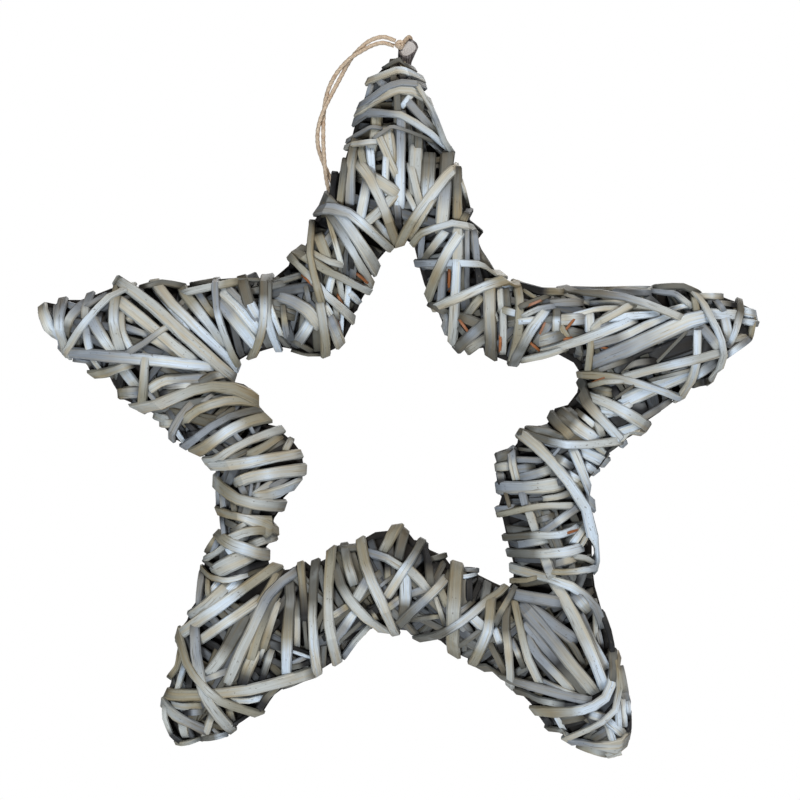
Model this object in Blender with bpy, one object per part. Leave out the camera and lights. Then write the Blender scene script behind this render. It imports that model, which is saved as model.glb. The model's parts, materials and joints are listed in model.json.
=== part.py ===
"""Hanging wicker star: willow strips wound round a five-pointed ring, a wooden peg and a jute cord.

Metres, +Z up, front towards -Y. The origin is the hanging point, where the cord passes through the peg.
"""

import math

import bmesh
import bpy
from mathutils import Matrix, Vector

# Plan of the star: angles in degrees clockwise from straight up, radii from the star's centre.
ARM_NAMES = ("top", "right", "lower_right", "lower_left", "left")
VALLEY_NAMES = ("upper_right", "right", "bottom", "left", "upper_left")
ARM_STEP = 360 / len(ARM_NAMES)
TIP_REACH = 0.2630
VALLEY_RADIUS = 0.1310
NOTCH_RADIUS = 0.1320
BULGE_RADIUS = 0.0715
TIP_HALF_WIDTH = 0.0075

# How far each corner of this hand-wound star stands off the regular plan: degrees, metres.
TIP_DRIFT = ((0.8, -0.0085), (0.1, -0.0025), (2.2, 0.0070), (0.1, 0.0035), (0.5, 0.0000))
VALLEY_DRIFT = ((-1.4, -0.0060), (-3.3, 0.0015), (0.0, 0.0050), (1.5, 0.0000), (-4.7, 0.0010))
NOTCH_DRIFT = ((0.9, 0.0020), (-0.7, 0.0000), (1.6, 0.0025), (7.0, 0.0000), (2.4, -0.0060))
BULGE_DRIFT = ((2.7, -0.0025), (5.6, 0.0035), (0.0, -0.0020), (-3.6, 0.0020), (-4.5, 0.0000))

# Section of the wound tube: ridges front and back, slim edges outside and round the hole.
RIDGE_HEIGHT = 0.0265
EDGE_THICKNESS = 0.0080
TIP_HEIGHT = 0.0105
TIP_RIDGE_OFFSET = 0.0045

# Where the sections of an arm lie past the notch, and how high its middle stands beside its ridges.
BAND_SHARES = (0.0, 0.5, 1.0)
ARM_SHARES = (0.22, 0.60, 1.0)
MIDDLE_RISE = (0.78, 0.95, 1.0)
# How the ridges fall towards the tip: 1 would be a straight line, more keeps them high for longer.
RIDGE_FALL = 1.5

# Split willow strips, laid in layers over the inner winding.
STRIP_WIDTH = 0.0085
STRIP_THICKNESS = 0.0014
CLEARANCE = 0.0003
HOOP_MARGIN = 0.0120

# Turns round each limb of the ring, beside the turn across its valley: gap between them, and how much
# further along the limb each one lies outside than inside.
BAND_TURN_GAP = 0.0120
BAND_TURN_LEANS = (0.0000, 0.0060)
# Turns round an arm, back from its tip: the first one's place, the gap between them, and how much
# further back each one lies on its clockwise edge.
TIP_TURN_START = 0.0070
TIP_TURN_GAP = 0.0160
TIP_TURN_LEANS = (0.0030, -0.0080, 0.0120)
# Long strips that cross on an arm: how far back from the tip they meet its one edge and its other.
CROSSING_NEAR = 0.0620
CROSSING_FAR = 0.1180

# The peg: a frame rod's end that comes out of the top arm, flares and is cut on the slant.
PEG_RADIUS = 0.0047
PEG_SEAT_LENGTH = 0.0450
PEG_HEAD_RADIUS = 0.0070
PEG_HEAD_RISE = 0.0110
PEG_HEAD_SIDE = 0.0023
PEG_CUT_RISE = 0.0095
PEG_CUT_SLANT = 46.0
PEG_SIDES = 20

# The jute cord: a loop of twine whose two runs are twisted together, knotted over the peg.
CORD_DIAMETER = 0.0033
CORD_RUN_GAP = 0.0008
CORD_TWIST_LENGTH = 0.0840
CORD_BIGHT_RADIUS = 0.0072
CORD_BIGHT_TAPER = 0.0300
CORD_STEP = 0.0085
BIGHT_STEPS = 6
ROUTE_FINENESS = 8
KNOT_RADIUS = 0.0029
KNOT_CENTRE = Vector((-0.0058, -0.0014, 0.0004))

# Route of the knotted end over the peg, from the knot to the peg's back: X, Y, Z from the hanging point.
KNOT_ROUTE = (
    (-0.0052, -0.0022, -0.0012),
    (-0.0034, 0.0012, 0.0016),
    (-0.0012, 0.0042, 0.0046),
    (0.0010, 0.0075, 0.0066),
    (0.0020, 0.0102, 0.0040),
    (0.0010, 0.0106, -0.0015),
)

# Route of the doubled cord, from the knot to its end behind the top arm.
CORD_ROUTE = (
    (-0.0092, -0.0014, 0.0014),
    (-0.0147, -0.0012, 0.0034),
    (-0.0205, -0.0010, 0.0036),
    (-0.0255, -0.0006, 0.0016),
    (-0.0312, -0.0002, -0.0020),
    (-0.0373, 0.0004, -0.0066),
    (-0.0440, 0.0012, -0.0144),
    (-0.0503, 0.0020, -0.0244),
    (-0.0553, 0.0030, -0.0352),
    (-0.0588, 0.0042, -0.0465),
    (-0.0606, 0.0056, -0.0575),
    (-0.0607, 0.0074, -0.0682),
    (-0.0590, 0.0098, -0.0786),
    (-0.0564, 0.0130, -0.0885),
    (-0.0538, 0.0172, -0.0972),
    (-0.0510, 0.0218, -0.1052),
    (-0.0478, 0.0262, -0.1130),
    (-0.0444, 0.0302, -0.1206),
)
# The way that the back of the top arm faces where the cord's end lies on it.
CORD_BED_NORMAL = Vector((-0.50, 0.80, 0.25)).normalized()

# The star's centre, below the hanging point and a little to its side.
CENTRE_DROP = 0.2665
CENTRE_SIDE = -0.0055
CENTRE = Vector((CENTRE_SIDE, 0, -CENTRE_DROP))

WILLOW_TONES = (
    ("pale_willow", (0.62, 0.62, 0.60)),
    ("tan_willow", (0.50, 0.47, 0.40)),
    ("grey_willow", (0.44, 0.46, 0.48)),
)
WILLOW_ROUGHNESS = 0.62
WELD = 1e-6


def material(name, colour, roughness):
    """A plain finish of that colour, made once and shared."""
    made = bpy.data.materials.get(name)
    if made is None:
        made = bpy.data.materials.new(name)
        made.use_nodes = True
        shader = made.node_tree.nodes["Principled BSDF"]
        shader.inputs["Base Color"].default_value = (*colour, 1)
        shader.inputs["Roughness"].default_value = roughness
        shader.inputs["Metallic"].default_value = 0
    return made


def new_object(name, mesh, finish=None):
    """An object in the scene that holds this mesh."""
    made = bpy.data.objects.new(name, mesh)
    bpy.context.scene.collection.objects.link(made)
    if finish:
        mesh.materials.append(finish)
    return made


def mesh_from(bm, name):
    """The finished mesh of a bmesh, which it frees."""
    made = bpy.data.meshes.new(name)
    bm.to_mesh(made)
    bm.free()
    return made


def hide_cutter(cutter):
    """Marks an object that only shapes others."""
    cutter.hide_render = True
    cutter.display_type = "WIRE"


def plan_point(turn, radius):
    """The point at that angle clockwise from straight up, and that far from the star's centre."""
    angle = math.radians(turn)
    return Vector((math.sin(angle), 0, math.cos(angle))) * radius


def corner(index, half, radius, drift):
    """Corner number index of one of the star's four outlines, half an arm's step on if half is 1."""
    turn, stand_off = drift[index]
    return plan_point((index + half / 2) * ARM_STEP + turn, radius + stand_off)


def tip(arm):
    return corner(arm, 0, TIP_REACH, TIP_DRIFT)


def notch(arm):
    return corner(arm, 0, NOTCH_RADIUS, NOTCH_DRIFT)


def valley(index):
    return corner(index, 1, VALLEY_RADIUS, VALLEY_DRIFT)


def bulge(index):
    return corner(index, 1, BULGE_RADIUS, BULGE_DRIFT)


def arm_directions(arm):
    """Unit vectors along an arm, out from the notch, and across it, clockwise."""
    along = (tip(arm) - notch(arm)).normalized()
    return along, Vector((along.z, 0, -along.x))


class Section:
    """A cut through the wound tube: its outer edge, its ridge and its inner edge."""

    def __init__(self, outer, ridge, inner, ridge_height, inner_height):
        self.outer = outer
        self.ridge = ridge
        self.inner = inner
        self.ridge_height = ridge_height
        self.inner_height = inner_height

    def profile(self, face):
        """Its points on the front (face -1) or the back (face 1), from the outer edge inwards."""
        heights = EDGE_THICKNESS / 2, self.ridge_height, self.inner_height
        places = self.outer, self.ridge, self.inner
        return [place + Vector((0, face * height, 0)) for place, height in zip(places, heights)]


def half_arm_sections(arm, side):
    """Sections from a valley to the tip, on the clockwise side of an arm (side 1) or the other (side -1)."""
    beside = arm if side == 1 else (arm - 1) % len(ARM_NAMES)
    along, across = arm_directions(arm)
    outer_start, inner_start = valley(beside), bulge(beside)
    inner_end, point = notch(arm), tip(arm)
    outer_end = point + across * side * TIP_HALF_WIDTH
    edge = outer_end - outer_start
    at_notch = outer_start + edge * ((inner_end - outer_start).dot(edge) / edge.length_squared)
    sections = []
    for share in BAND_SHARES:
        outer = outer_start.lerp(at_notch, share)
        inner = inner_start.lerp(inner_end, share)
        middle = (outer + inner) / 2
        sections.append(Section(outer, middle, inner, RIDGE_HEIGHT, EDGE_THICKNESS / 2))
    ridge_start = (at_notch + inner_end) / 2
    ridge_end = point + across * side * TIP_RIDGE_OFFSET
    for share, rise in zip(ARM_SHARES, MIDDLE_RISE):
        height = RIDGE_HEIGHT + (TIP_HEIGHT - RIDGE_HEIGHT) * share**RIDGE_FALL
        outer = at_notch.lerp(outer_end, share)
        ridge = ridge_start.lerp(ridge_end, share)
        inner = inner_end.lerp(point, share)
        sections.append(Section(outer, ridge, inner, height, height * rise))
    return sections


def add_face(bm, points, flip):
    """A face through these points, wound the other way if flip is set."""
    verts = [bm.verts.new(p) for p in (reversed(points) if flip else points)]
    bm.faces.new(verts)


def star_hull():
    """The surface of the inner winding, about the star's centre, as a closed bmesh."""
    bm = bmesh.new()
    for arm in range(len(ARM_NAMES)):
        for side in (-1, 1):
            sections = half_arm_sections(arm, side)
            for number, (near, far) in enumerate(zip(sections, sections[1:])):
                for face in (-1, 1):
                    flip = side * face == -1
                    a, b = near.profile(face), far.profile(face)
                    for lane in range(2):
                        add_face(bm, [a[lane], b[lane], b[lane + 1], a[lane + 1]], flip)
                front = near.profile(-1), far.profile(-1)
                back = near.profile(1), far.profile(1)
                add_face(bm, [front[0][0], front[1][0], back[1][0], back[0][0]], side == -1)
                if number < len(BAND_SHARES) - 1:
                    add_face(bm, [front[0][2], back[0][2], back[1][2], front[1][2]], side == -1)
    bmesh.ops.remove_doubles(bm, verts=bm.verts, dist=WELD)
    open_edges = [edge for edge in bm.edges if edge.is_boundary]
    bmesh.ops.holes_fill(bm, edges=open_edges, sides=0)
    bmesh.ops.recalc_face_normals(bm, faces=bm.faces)
    bmesh.ops.triangulate(bm, faces=bm.faces)
    return bm


def hull_object(name, offset):
    """The star's hull grown by offset all over, in its place under the hanging point."""
    bm = star_hull()
    bm.normal_update()
    moves = [vert.normal * offset * vert.calc_shell_factor() for vert in bm.verts]
    for vert, move in zip(bm.verts, moves):
        vert.co += move
    bmesh.ops.translate(bm, verts=bm.verts, vec=CENTRE)
    return new_object(name, mesh_from(bm, name))


def layer_offsets(layer):
    """How far the under and upper faces of a strip in that layer stand off the hull."""
    under = CLEARANCE + layer * (STRIP_THICKNESS + CLEARANCE)
    return under, under + STRIP_THICKNESS


def layer_hulls(layer):
    """The two cutters that every strip in that layer lies between."""
    found = []
    for face, offset in zip(("under", "upper"), layer_offsets(layer)):
        name = f"layer_{layer}_{face}"
        cutter = bpy.data.objects.get(name)
        if cutter is None:
            cutter = hull_object(name, offset)
            hide_cutter(cutter)
        found.append(cutter)
    return found


def add_boolean(target, cutter, operation):
    """A live cut of one object by another."""
    cut = target.modifiers.new(f"{operation.lower()}_{cutter.name}", "BOOLEAN")
    cut.operation = operation
    cut.solver = "EXACT"
    cut.object = cutter


def wound_strip(name, start, end, layer, tone):
    """A strip that closes round the tube: a flat slab cut to the space between two grown hulls.

    It lies along the line from start to end, two points on the outline in the star's own plan.
    """
    run = end - start
    bm = bmesh.new()
    bmesh.ops.create_cube(bm, size=1)
    depth = 2 * (RIDGE_HEIGHT + HOOP_MARGIN)
    bmesh.ops.scale(bm, verts=bm.verts, vec=(run.length + 2 * HOOP_MARGIN, depth, STRIP_WIDTH))
    heading = Matrix.Rotation(math.atan2(-run.z, run.x), 3, "Y")
    bmesh.ops.rotate(bm, verts=bm.verts, cent=(0, 0, 0), matrix=heading)
    bmesh.ops.translate(bm, verts=bm.verts, vec=(start + end) / 2 + CENTRE)
    colour_name, colour = WILLOW_TONES[tone % len(WILLOW_TONES)]
    strip = new_object(name, mesh_from(bm, name), material(colour_name, colour, WILLOW_ROUGHNESS))
    under, upper = layer_hulls(layer)
    add_boolean(strip, upper, "INTERSECT")
    add_boolean(strip, under, "DIFFERENCE")


def band_turns():
    """The turns across each valley, and those along both limbs of the ring from it to the next notch."""
    for index, valley_name in enumerate(VALLEY_NAMES):
        wound_strip(f"{valley_name}_valley_turn", valley(index), bulge(index), 0, index)
        for arm, side in ((index, 1), ((index + 1) % len(ARM_NAMES), -1)):
            sections = half_arm_sections(arm, side)
            first, last = sections[0], sections[len(BAND_SHARES) - 1]
            run = (last.ridge - first.ridge).length
            for number, lean in enumerate(BAND_TURN_LEANS, 1):
                along = number * (STRIP_WIDTH + BAND_TURN_GAP)
                outer = first.outer.lerp(last.outer, (along + lean / 2) / run)
                inner = first.inner.lerp(last.inner, (along - lean / 2) / run)
                name = f"{ARM_NAMES[arm]}_arm_turn_{number}_by_{valley_name}_valley"
                wound_strip(name, outer, inner, 0, number + arm)


def arm_edge(arm, side, back):
    """The point on an arm's edge that lies that far back from its tip."""
    _, across = arm_directions(arm)
    corner_point = tip(arm) + across * side * TIP_HALF_WIDTH
    beside = valley(arm) if side == 1 else valley((arm - 1) % len(ARM_NAMES))
    return corner_point + (beside - corner_point).normalized() * back


def arm_turns():
    """The turns round each arm near its tip, and the two long strips that cross on it."""
    for arm, arm_name in enumerate(ARM_NAMES):
        for number, lean in enumerate(TIP_TURN_LEANS, 1):
            back = TIP_TURN_START + (number - 0.5) * STRIP_WIDTH + (number - 1) * TIP_TURN_GAP
            start = arm_edge(arm, -1, back - lean / 2)
            end = arm_edge(arm, 1, back + lean / 2)
            wound_strip(f"{arm_name}_tip_turn_{number}", start, end, 0, number)
        for number, side in enumerate((-1, 1), 1):
            start = arm_edge(arm, side, CROSSING_NEAR)
            end = arm_edge(arm, -side, CROSSING_FAR)
            wound_strip(f"{arm_name}_arm_crossing_strip_{number}", start, end, number, number + arm)


def round_rod(name, stations, sides):
    """A rod lofted through level rings: each station is a centre and a radius, bottom first."""
    bm = bmesh.new()
    rings = []
    for centre, radius in stations:
        ring = bmesh.ops.create_circle(bm, segments=sides, radius=radius)["verts"]
        bmesh.ops.translate(bm, verts=ring, vec=centre)
        rings.append(ring)
    for low, high in zip(rings, rings[1:]):
        for near, far in zip(range(sides), (*range(1, sides), 0)):
            bm.faces.new((low[near], low[far], high[far], high[near]))
    bm.faces.new(reversed(rings[0]))
    bm.faces.new(rings[-1])
    bmesh.ops.recalc_face_normals(bm, faces=bm.faces)
    return new_object(name, mesh_from(bm, name))


def add_peg(winding):
    """The peg, and the bore in the winding that it sits in."""
    along, _ = arm_directions(0)
    mouth = CENTRE + tip(0)
    foot = mouth - along * PEG_SEAT_LENGTH
    neck = mouth + along * CLEARANCE
    head = mouth + Vector((PEG_HEAD_SIDE, 0, PEG_HEAD_RISE))
    top = head + (head - neck)
    stations = ((foot, PEG_RADIUS), (neck, PEG_RADIUS), (head, PEG_HEAD_RADIUS), (top, PEG_HEAD_RADIUS))
    peg = round_rod("peg", stations, PEG_SIDES)
    bm = bmesh.new()
    bm.from_mesh(peg.data)
    slant = math.radians(PEG_CUT_SLANT)
    cut = bmesh.ops.bisect_plane(
        bm,
        geom=[*bm.verts, *bm.edges, *bm.faces],
        plane_co=mouth + Vector((0, 0, PEG_CUT_RISE)),
        plane_no=(0, -math.sin(slant), math.cos(slant)),
        clear_outer=True,
    )
    rim = [item for item in cut["geom_cut"] if isinstance(item, bmesh.types.BMEdge)]
    bmesh.ops.contextual_create(bm, geom=rim)
    bmesh.ops.recalc_face_normals(bm, faces=bm.faces)
    bm.to_mesh(peg.data)
    bm.free()
    peg.data.materials.append(material("weathered_rod", (0.36, 0.35, 0.36), 0.7))
    bore_radius = PEG_RADIUS + CLEARANCE
    seat = ((foot - along * CLEARANCE, bore_radius), (mouth + along * HOOP_MARGIN, bore_radius))
    bore = round_rod("peg_bore", seat, PEG_SIDES)
    hide_cutter(bore)
    add_boolean(winding, bore, "DIFFERENCE")


def smooth_route(points, step):
    """Points about a step apart on one smooth curve through the given ones."""
    points = [Vector(p) for p in points]
    before = points[0] * 2 - points[1]
    after = points[-1] * 2 - points[-2]
    ends = [before, *points, after]
    fine = []
    for a, b, c, d in zip(ends, ends[1:], ends[2:], ends[3:]):
        for number in range(ROUTE_FINENESS):
            t = number / ROUTE_FINENESS
            bend = (a - b * 3 + c * 3 - d) * -(t**3) + (a * 2 - b * 5 + c * 4 - d) * t**2 + (c - a) * t
            fine.append(b + bend / 2)
    fine.append(points[-1])
    lengths = [0.0]
    for a, b in zip(fine, fine[1:]):
        lengths.append(lengths[-1] + (b - a).length)
    count = max(2, round(lengths[-1] / step))
    found = []
    place = 0
    for number in range(count + 1):
        target = lengths[-1] * number / count
        while place < len(fine) - 2 and lengths[place + 1] < target:
            place += 1
        share = (target - lengths[place]) / (lengths[place + 1] - lengths[place])
        found.append(fine[place].lerp(fine[place + 1], share))
    return found


def cord_path():
    """The cord from the knot down one run, round the bight behind the arm and back up the other run."""
    middle = smooth_route(CORD_ROUTE, CORD_STEP)
    apart = (CORD_DIAMETER + CORD_RUN_GAP) / 2
    whole = len(middle) - 1
    run_down, run_up = [], []
    for number, point in enumerate(middle):
        ahead = (middle[min(number + 1, whole)] - middle[max(number - 1, 0)]).normalized()
        up = (CORD_BED_NORMAL - ahead * CORD_BED_NORMAL.dot(ahead)).normalized()
        side = ahead.cross(up)
        left = (whole - number) * CORD_STEP
        opened = max(0.0, 1 - left / CORD_BIGHT_TAPER)
        spread = apart + (CORD_BIGHT_RADIUS - apart) * opened**2 * (3 - 2 * opened)
        turned = math.tau * max(0.0, left - CORD_BIGHT_TAPER) / CORD_TWIST_LENGTH
        offset = (side * math.cos(turned) + up * math.sin(turned)) * spread
        run_down.append(point + offset)
        run_up.append(point - offset)
    bight = []
    for number in range(1, BIGHT_STEPS):
        turned = math.pi * number / BIGHT_STEPS
        bight.append(middle[-1] + (side * math.cos(turned) + ahead * math.sin(turned)) * CORD_BIGHT_RADIUS)
    return [*run_down, *bight, *reversed(run_up)]


def tube(name, points, radius, finish):
    """A round cord along these points, closed at both ends."""
    curve = bpy.data.curves.new(name, "CURVE")
    curve.dimensions = "3D"
    curve.bevel_depth = radius
    curve.bevel_resolution = 2
    curve.use_fill_caps = True
    spline = curve.splines.new("POLY")
    spline.points.add(len(points) - 1)
    for place, point in zip(spline.points, points):
        place.co = (*point, 1)
    return new_object(name, curve, finish)


def add_cord():
    """The cord, and the knotted end that goes over the peg."""
    jute = material("jute", (0.62, 0.50, 0.36), 0.85)
    tube("cord", cord_path(), CORD_DIAMETER / 2, jute)
    strand = tube("knot_strand", smooth_route(KNOT_ROUTE, CORD_DIAMETER), CORD_DIAMETER / 2, None)
    hide_cutter(strand)
    bm = bmesh.new()
    bmesh.ops.create_icosphere(bm, subdivisions=2, radius=KNOT_RADIUS)
    bmesh.ops.translate(bm, verts=bm.verts, vec=KNOT_CENTRE)
    knot = new_object("cord_knot", mesh_from(bm, "cord_knot"), jute)
    mesh = bpy.data.meshes.new_from_object(strand.evaluated_get(bpy.context.evaluated_depsgraph_get()))
    bpy.data.objects.remove(strand)
    strand = new_object("knot_strand", mesh)
    hide_cutter(strand)
    add_boolean(knot, strand, "UNION")


def main():
    for old in list(bpy.data.objects):
        bpy.data.objects.remove(old)
    winding = hull_object("star_winding", 0)
    winding.data.materials.append(material("shaded_willow", (0.16, 0.16, 0.16), 0.7))
    band_turns()
    arm_turns()
    add_peg(winding)
    add_cord()


main()
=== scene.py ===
"""Hanging wicker star: split willow laid turn by turn over its rods, with a peg and a jute cord.

Metres, +Z up, front towards -Y. The origin is the hanging point, where the cord passes over the peg.
"""

import json
import logging
import math
from dataclasses import dataclass
from enum import Enum
from typing import Callable, Iterable, Sequence

import bmesh
import bpy
import numpy as np
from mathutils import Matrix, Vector
from mathutils.bvhtree import BVHTree

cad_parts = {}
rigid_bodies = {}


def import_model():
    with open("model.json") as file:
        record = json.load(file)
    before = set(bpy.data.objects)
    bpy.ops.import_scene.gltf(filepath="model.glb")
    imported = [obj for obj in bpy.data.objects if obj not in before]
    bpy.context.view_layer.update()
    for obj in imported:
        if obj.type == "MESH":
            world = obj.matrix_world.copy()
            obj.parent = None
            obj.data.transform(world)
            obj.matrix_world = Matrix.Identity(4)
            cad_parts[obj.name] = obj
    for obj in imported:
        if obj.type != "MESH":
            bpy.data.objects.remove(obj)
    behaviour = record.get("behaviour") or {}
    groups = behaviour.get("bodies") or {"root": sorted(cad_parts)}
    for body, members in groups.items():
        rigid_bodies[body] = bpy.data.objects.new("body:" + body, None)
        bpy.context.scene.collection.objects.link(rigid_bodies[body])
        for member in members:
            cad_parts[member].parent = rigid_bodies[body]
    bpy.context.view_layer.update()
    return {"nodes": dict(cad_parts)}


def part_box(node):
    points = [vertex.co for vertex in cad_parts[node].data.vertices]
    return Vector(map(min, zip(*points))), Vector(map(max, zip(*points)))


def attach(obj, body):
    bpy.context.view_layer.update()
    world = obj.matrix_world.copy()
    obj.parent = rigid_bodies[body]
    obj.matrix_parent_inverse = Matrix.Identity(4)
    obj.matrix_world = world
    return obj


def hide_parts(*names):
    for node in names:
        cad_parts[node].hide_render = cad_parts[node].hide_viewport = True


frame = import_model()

LOG = logging.getLogger("wicker_star")
MM = 0.001
TINY = 1e-9
SEED = 20

# The body that every piece hangs on.
BODY = "root"

# Faces that meet at less than these angles in degrees are shaded as one surface.
ROUND_ANGLE = 60
STRIP_ANGLE = 40

# The routes of the knot's strand and of the doubled cord, as the part's source has them.
ROUTE_FINENESS = 8
KNOT_ROUTE = (
    (-0.0052, -0.0022, -0.0012),
    (-0.0034, 0.0012, 0.0016),
    (-0.0012, 0.0042, 0.0046),
    (0.0010, 0.0075, 0.0066),
    (0.0020, 0.0102, 0.0040),
    (0.0010, 0.0106, -0.0015),
)
CORD_ROUTE = (
    (-0.0092, -0.0014, 0.0014),
    (-0.0147, -0.0012, 0.0034),
    (-0.0205, -0.0010, 0.0036),
    (-0.0255, -0.0006, 0.0016),
    (-0.0312, -0.0002, -0.0020),
    (-0.0373, 0.0004, -0.0066),
    (-0.0440, 0.0012, -0.0144),
    (-0.0503, 0.0020, -0.0244),
    (-0.0553, 0.0030, -0.0352),
    (-0.0588, 0.0042, -0.0465),
    (-0.0606, 0.0056, -0.0575),
    (-0.0607, 0.0074, -0.0682),
    (-0.0590, 0.0098, -0.0786),
    (-0.0564, 0.0130, -0.0885),
    (-0.0538, 0.0172, -0.0972),
    (-0.0510, 0.0218, -0.1052),
    (-0.0478, 0.0262, -0.1130),
    (-0.0444, 0.0302, -0.1206),
)


class Tone(Enum):
    """The colours of the strips: partly the washed willow's own, partly painted light and shade, with painted
    highlight in the white and painted shade in the dim and the near-black tones.
    """

    WHITE = (0.60, 0.65, 0.70)
    PALE = (0.46, 0.455, 0.42)
    GREY = (0.25, 0.262, 0.28)
    TAN = (0.30, 0.272, 0.205)
    DIM = (0.13, 0.124, 0.106)
    DARK = (0.018, 0.018, 0.020)
    RUST = (0.32, 0.115, 0.04)


class Lie(Enum):
    """How a strip is held on the frame."""

    HOOP = "wound round the edge rods wherever it reaches them"
    SLAT = "laid along an arm, with both ends tucked under turns"


WHITE, PALE, GREY, TAN, DIM, DARK, RUST = Tone

# A place in plan: millimetres to the right of the hanging point, and below it.
Place = tuple[float, float]

# What most functions below make and pass on.
Piece = bpy.types.Object
Material = bpy.types.Material

# Where along a strip its tones are pure, from 0 to 1. Between these stops one fades into the next.
TWO_TONE_STOPS = (0.36, 0.66)
THREE_TONE_STOPS = (0.34, 0.46, 0.55, 0.70)

# What the inner winding draws its tones from.
INNER_TONES = (GREY, TAN, GREY, PALE, GREY, TAN, DARK, PALE)


@dataclass(frozen=True)
class Strip:
    """One strip of split willow, in the order in which the maker laid it, with its width in millimetres."""

    lie: Lie
    width: float
    tones: tuple[Tone, ...]
    plan: tuple[Place, ...]

    def shades(self, share: np.ndarray) -> np.ndarray:
        """Works out its colour along it; where its tone changes along it, that is partly painted light and
        shade on the parts that face towards or away from the light.

        Args:
            share: how far along the strip each place is, from 0 to 1.

        Returns:
            A colour in a row for each place.
        """
        tones = [tone.value for tone in self.tones]
        stops, colours = TWO_TONE_STOPS, np.array((tones[0], tones[-1]))
        if len(tones) > 2:
            stops, colours = THREE_TONE_STOPS, np.array((tones[0], tones[1], tones[1], tones[2]))
        return np.stack([np.interp(share, stops, colours[:, channel]) for channel in range(3)], axis=1)


def hoop(width: float, tone: Tone, *plan: Place, by: Tone | None = None, to: Tone | None = None) -> Strip:
    """A strip wound round the edges that it reaches, by one tone halfway and to another at its end."""
    return Strip(Lie.HOOP, width, tuple(filter(None, (tone, by, to))), plan)


def slat(width: float, tone: Tone, *plan: Place, by: Tone | None = None, to: Tone | None = None) -> Strip:
    """A strip with both its ends tucked, by one tone halfway and to another at its end."""
    return Strip(Lie.SLAT, width, tuple(filter(None, (tone, by, to))), plan)


# Corners of the star in plan, clockwise from the top, in millimetres right of and below the hanging point.
ARM_NAMES = ("top", "right", "lower_right", "lower_left", "left")
VALLEY_NAMES = ("upper_right", "right", "bottom", "left", "upper_left")
TIPS = ((-2, 12), (243, 189), (146, 491), (-158, 482), (-256, 186))
VALLEYS = ((71, 163), (127, 309), (-5, 406), (-133, 305), (-72, 139))
NOTCHES = ((-3, 136), (117, 230), (68, 377), (-78, 360), (-120, 226))
BULGES = ((33, 212), (60, 297), (-13, 336), (-73, 293), (-44, 207))

# The star's outside, clockwise from the top tip.
OUTSIDE = (
    (3, 13), (10.5, 24), (15, 40), (22.5, 56), (30, 74), (35.5, 88), (41.5, 106), (45, 123),
    (52, 140), (60, 155), (67, 161), (78, 166), (98, 170.5), (109, 168), (160, 167.5), (176, 165),
    (190, 165), (203, 171), (217, 172.5), (231, 177.5), (241, 182.5), (243.5, 188), (242, 194),
    (236, 203), (227, 210.5), (219, 217), (215, 229), (208, 236), (197, 238), (190, 244),
    (182, 247.5), (176, 255), (167, 261), (164, 267), (151, 274.5), (148, 278), (140, 283),
    (139, 288), (126, 298), (127, 310), (128.5, 325), (129, 360), (131, 375), (136, 392),
    (139, 400), (143, 415), (148, 429), (153, 450), (154, 468), (153, 477), (150, 488), (147, 492),
    (139, 494.5), (133, 491), (120, 487), (112, 482), (100, 475), (92, 468), (88, 461), (80, 453),
    (70, 442), (50, 430), (38, 425), (30, 421), (22, 414), (15, 411), (7, 411.5), (-3, 405),
    (-10, 409.5), (-17, 405), (-22, 404.5), (-30, 408), (-36, 413), (-44, 424), (-50, 428),
    (-64, 436.5), (-70, 440.5), (-75.5, 443.5), (-86, 447), (-91.5, 451), (-95, 456), (-99.5, 463),
    (-108, 465.5), (-114.5, 469), (-118.5, 474), (-126, 478), (-140.5, 482), (-147, 484.5),
    (-160, 484.5), (-164, 480), (-168, 474.5), (-169, 468), (-170.5, 463), (-169, 450),
    (-165.5, 445.5), (-165.5, 440), (-160, 426), (-160.5, 410), (-158.5, 403), (-154.5, 398),
    (-151, 389), (-147.5, 384), (-145, 371), (-142.5, 362), (-142.5, 356), (-138, 343),
    (-129.5, 338), (-129, 328.5), (-133, 319), (-133.5, 309), (-133, 295), (-137.5, 292),
    (-142.5, 284), (-147.5, 283), (-155.5, 277.5), (-162.5, 274), (-170.5, 265), (-176, 256.5),
    (-187.5, 251), (-199, 246), (-205.5, 235.5), (-208, 230), (-218, 229), (-222, 225.5),
    (-224, 221), (-233.5, 217.5), (-241, 209.5), (-250, 196.5), (-258, 186), (-257.5, 182),
    (-251.5, 176.5), (-244.5, 178), (-241, 175), (-227, 175), (-218.5, 172), (-206, 167),
    (-188, 166), (-179.5, 164.5), (-164.5, 162), (-155, 165.5), (-142, 163), (-114, 160),
    (-94, 160.5), (-84, 152), (-82, 146), (-72, 140), (-67, 122), (-60, 112), (-56, 102),
    (-50, 90), (-45, 79), (-41, 66), (-37, 51), (-31.5, 40), (-28, 25), (-19, 15.5), (-9, 11.5),
)
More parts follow.
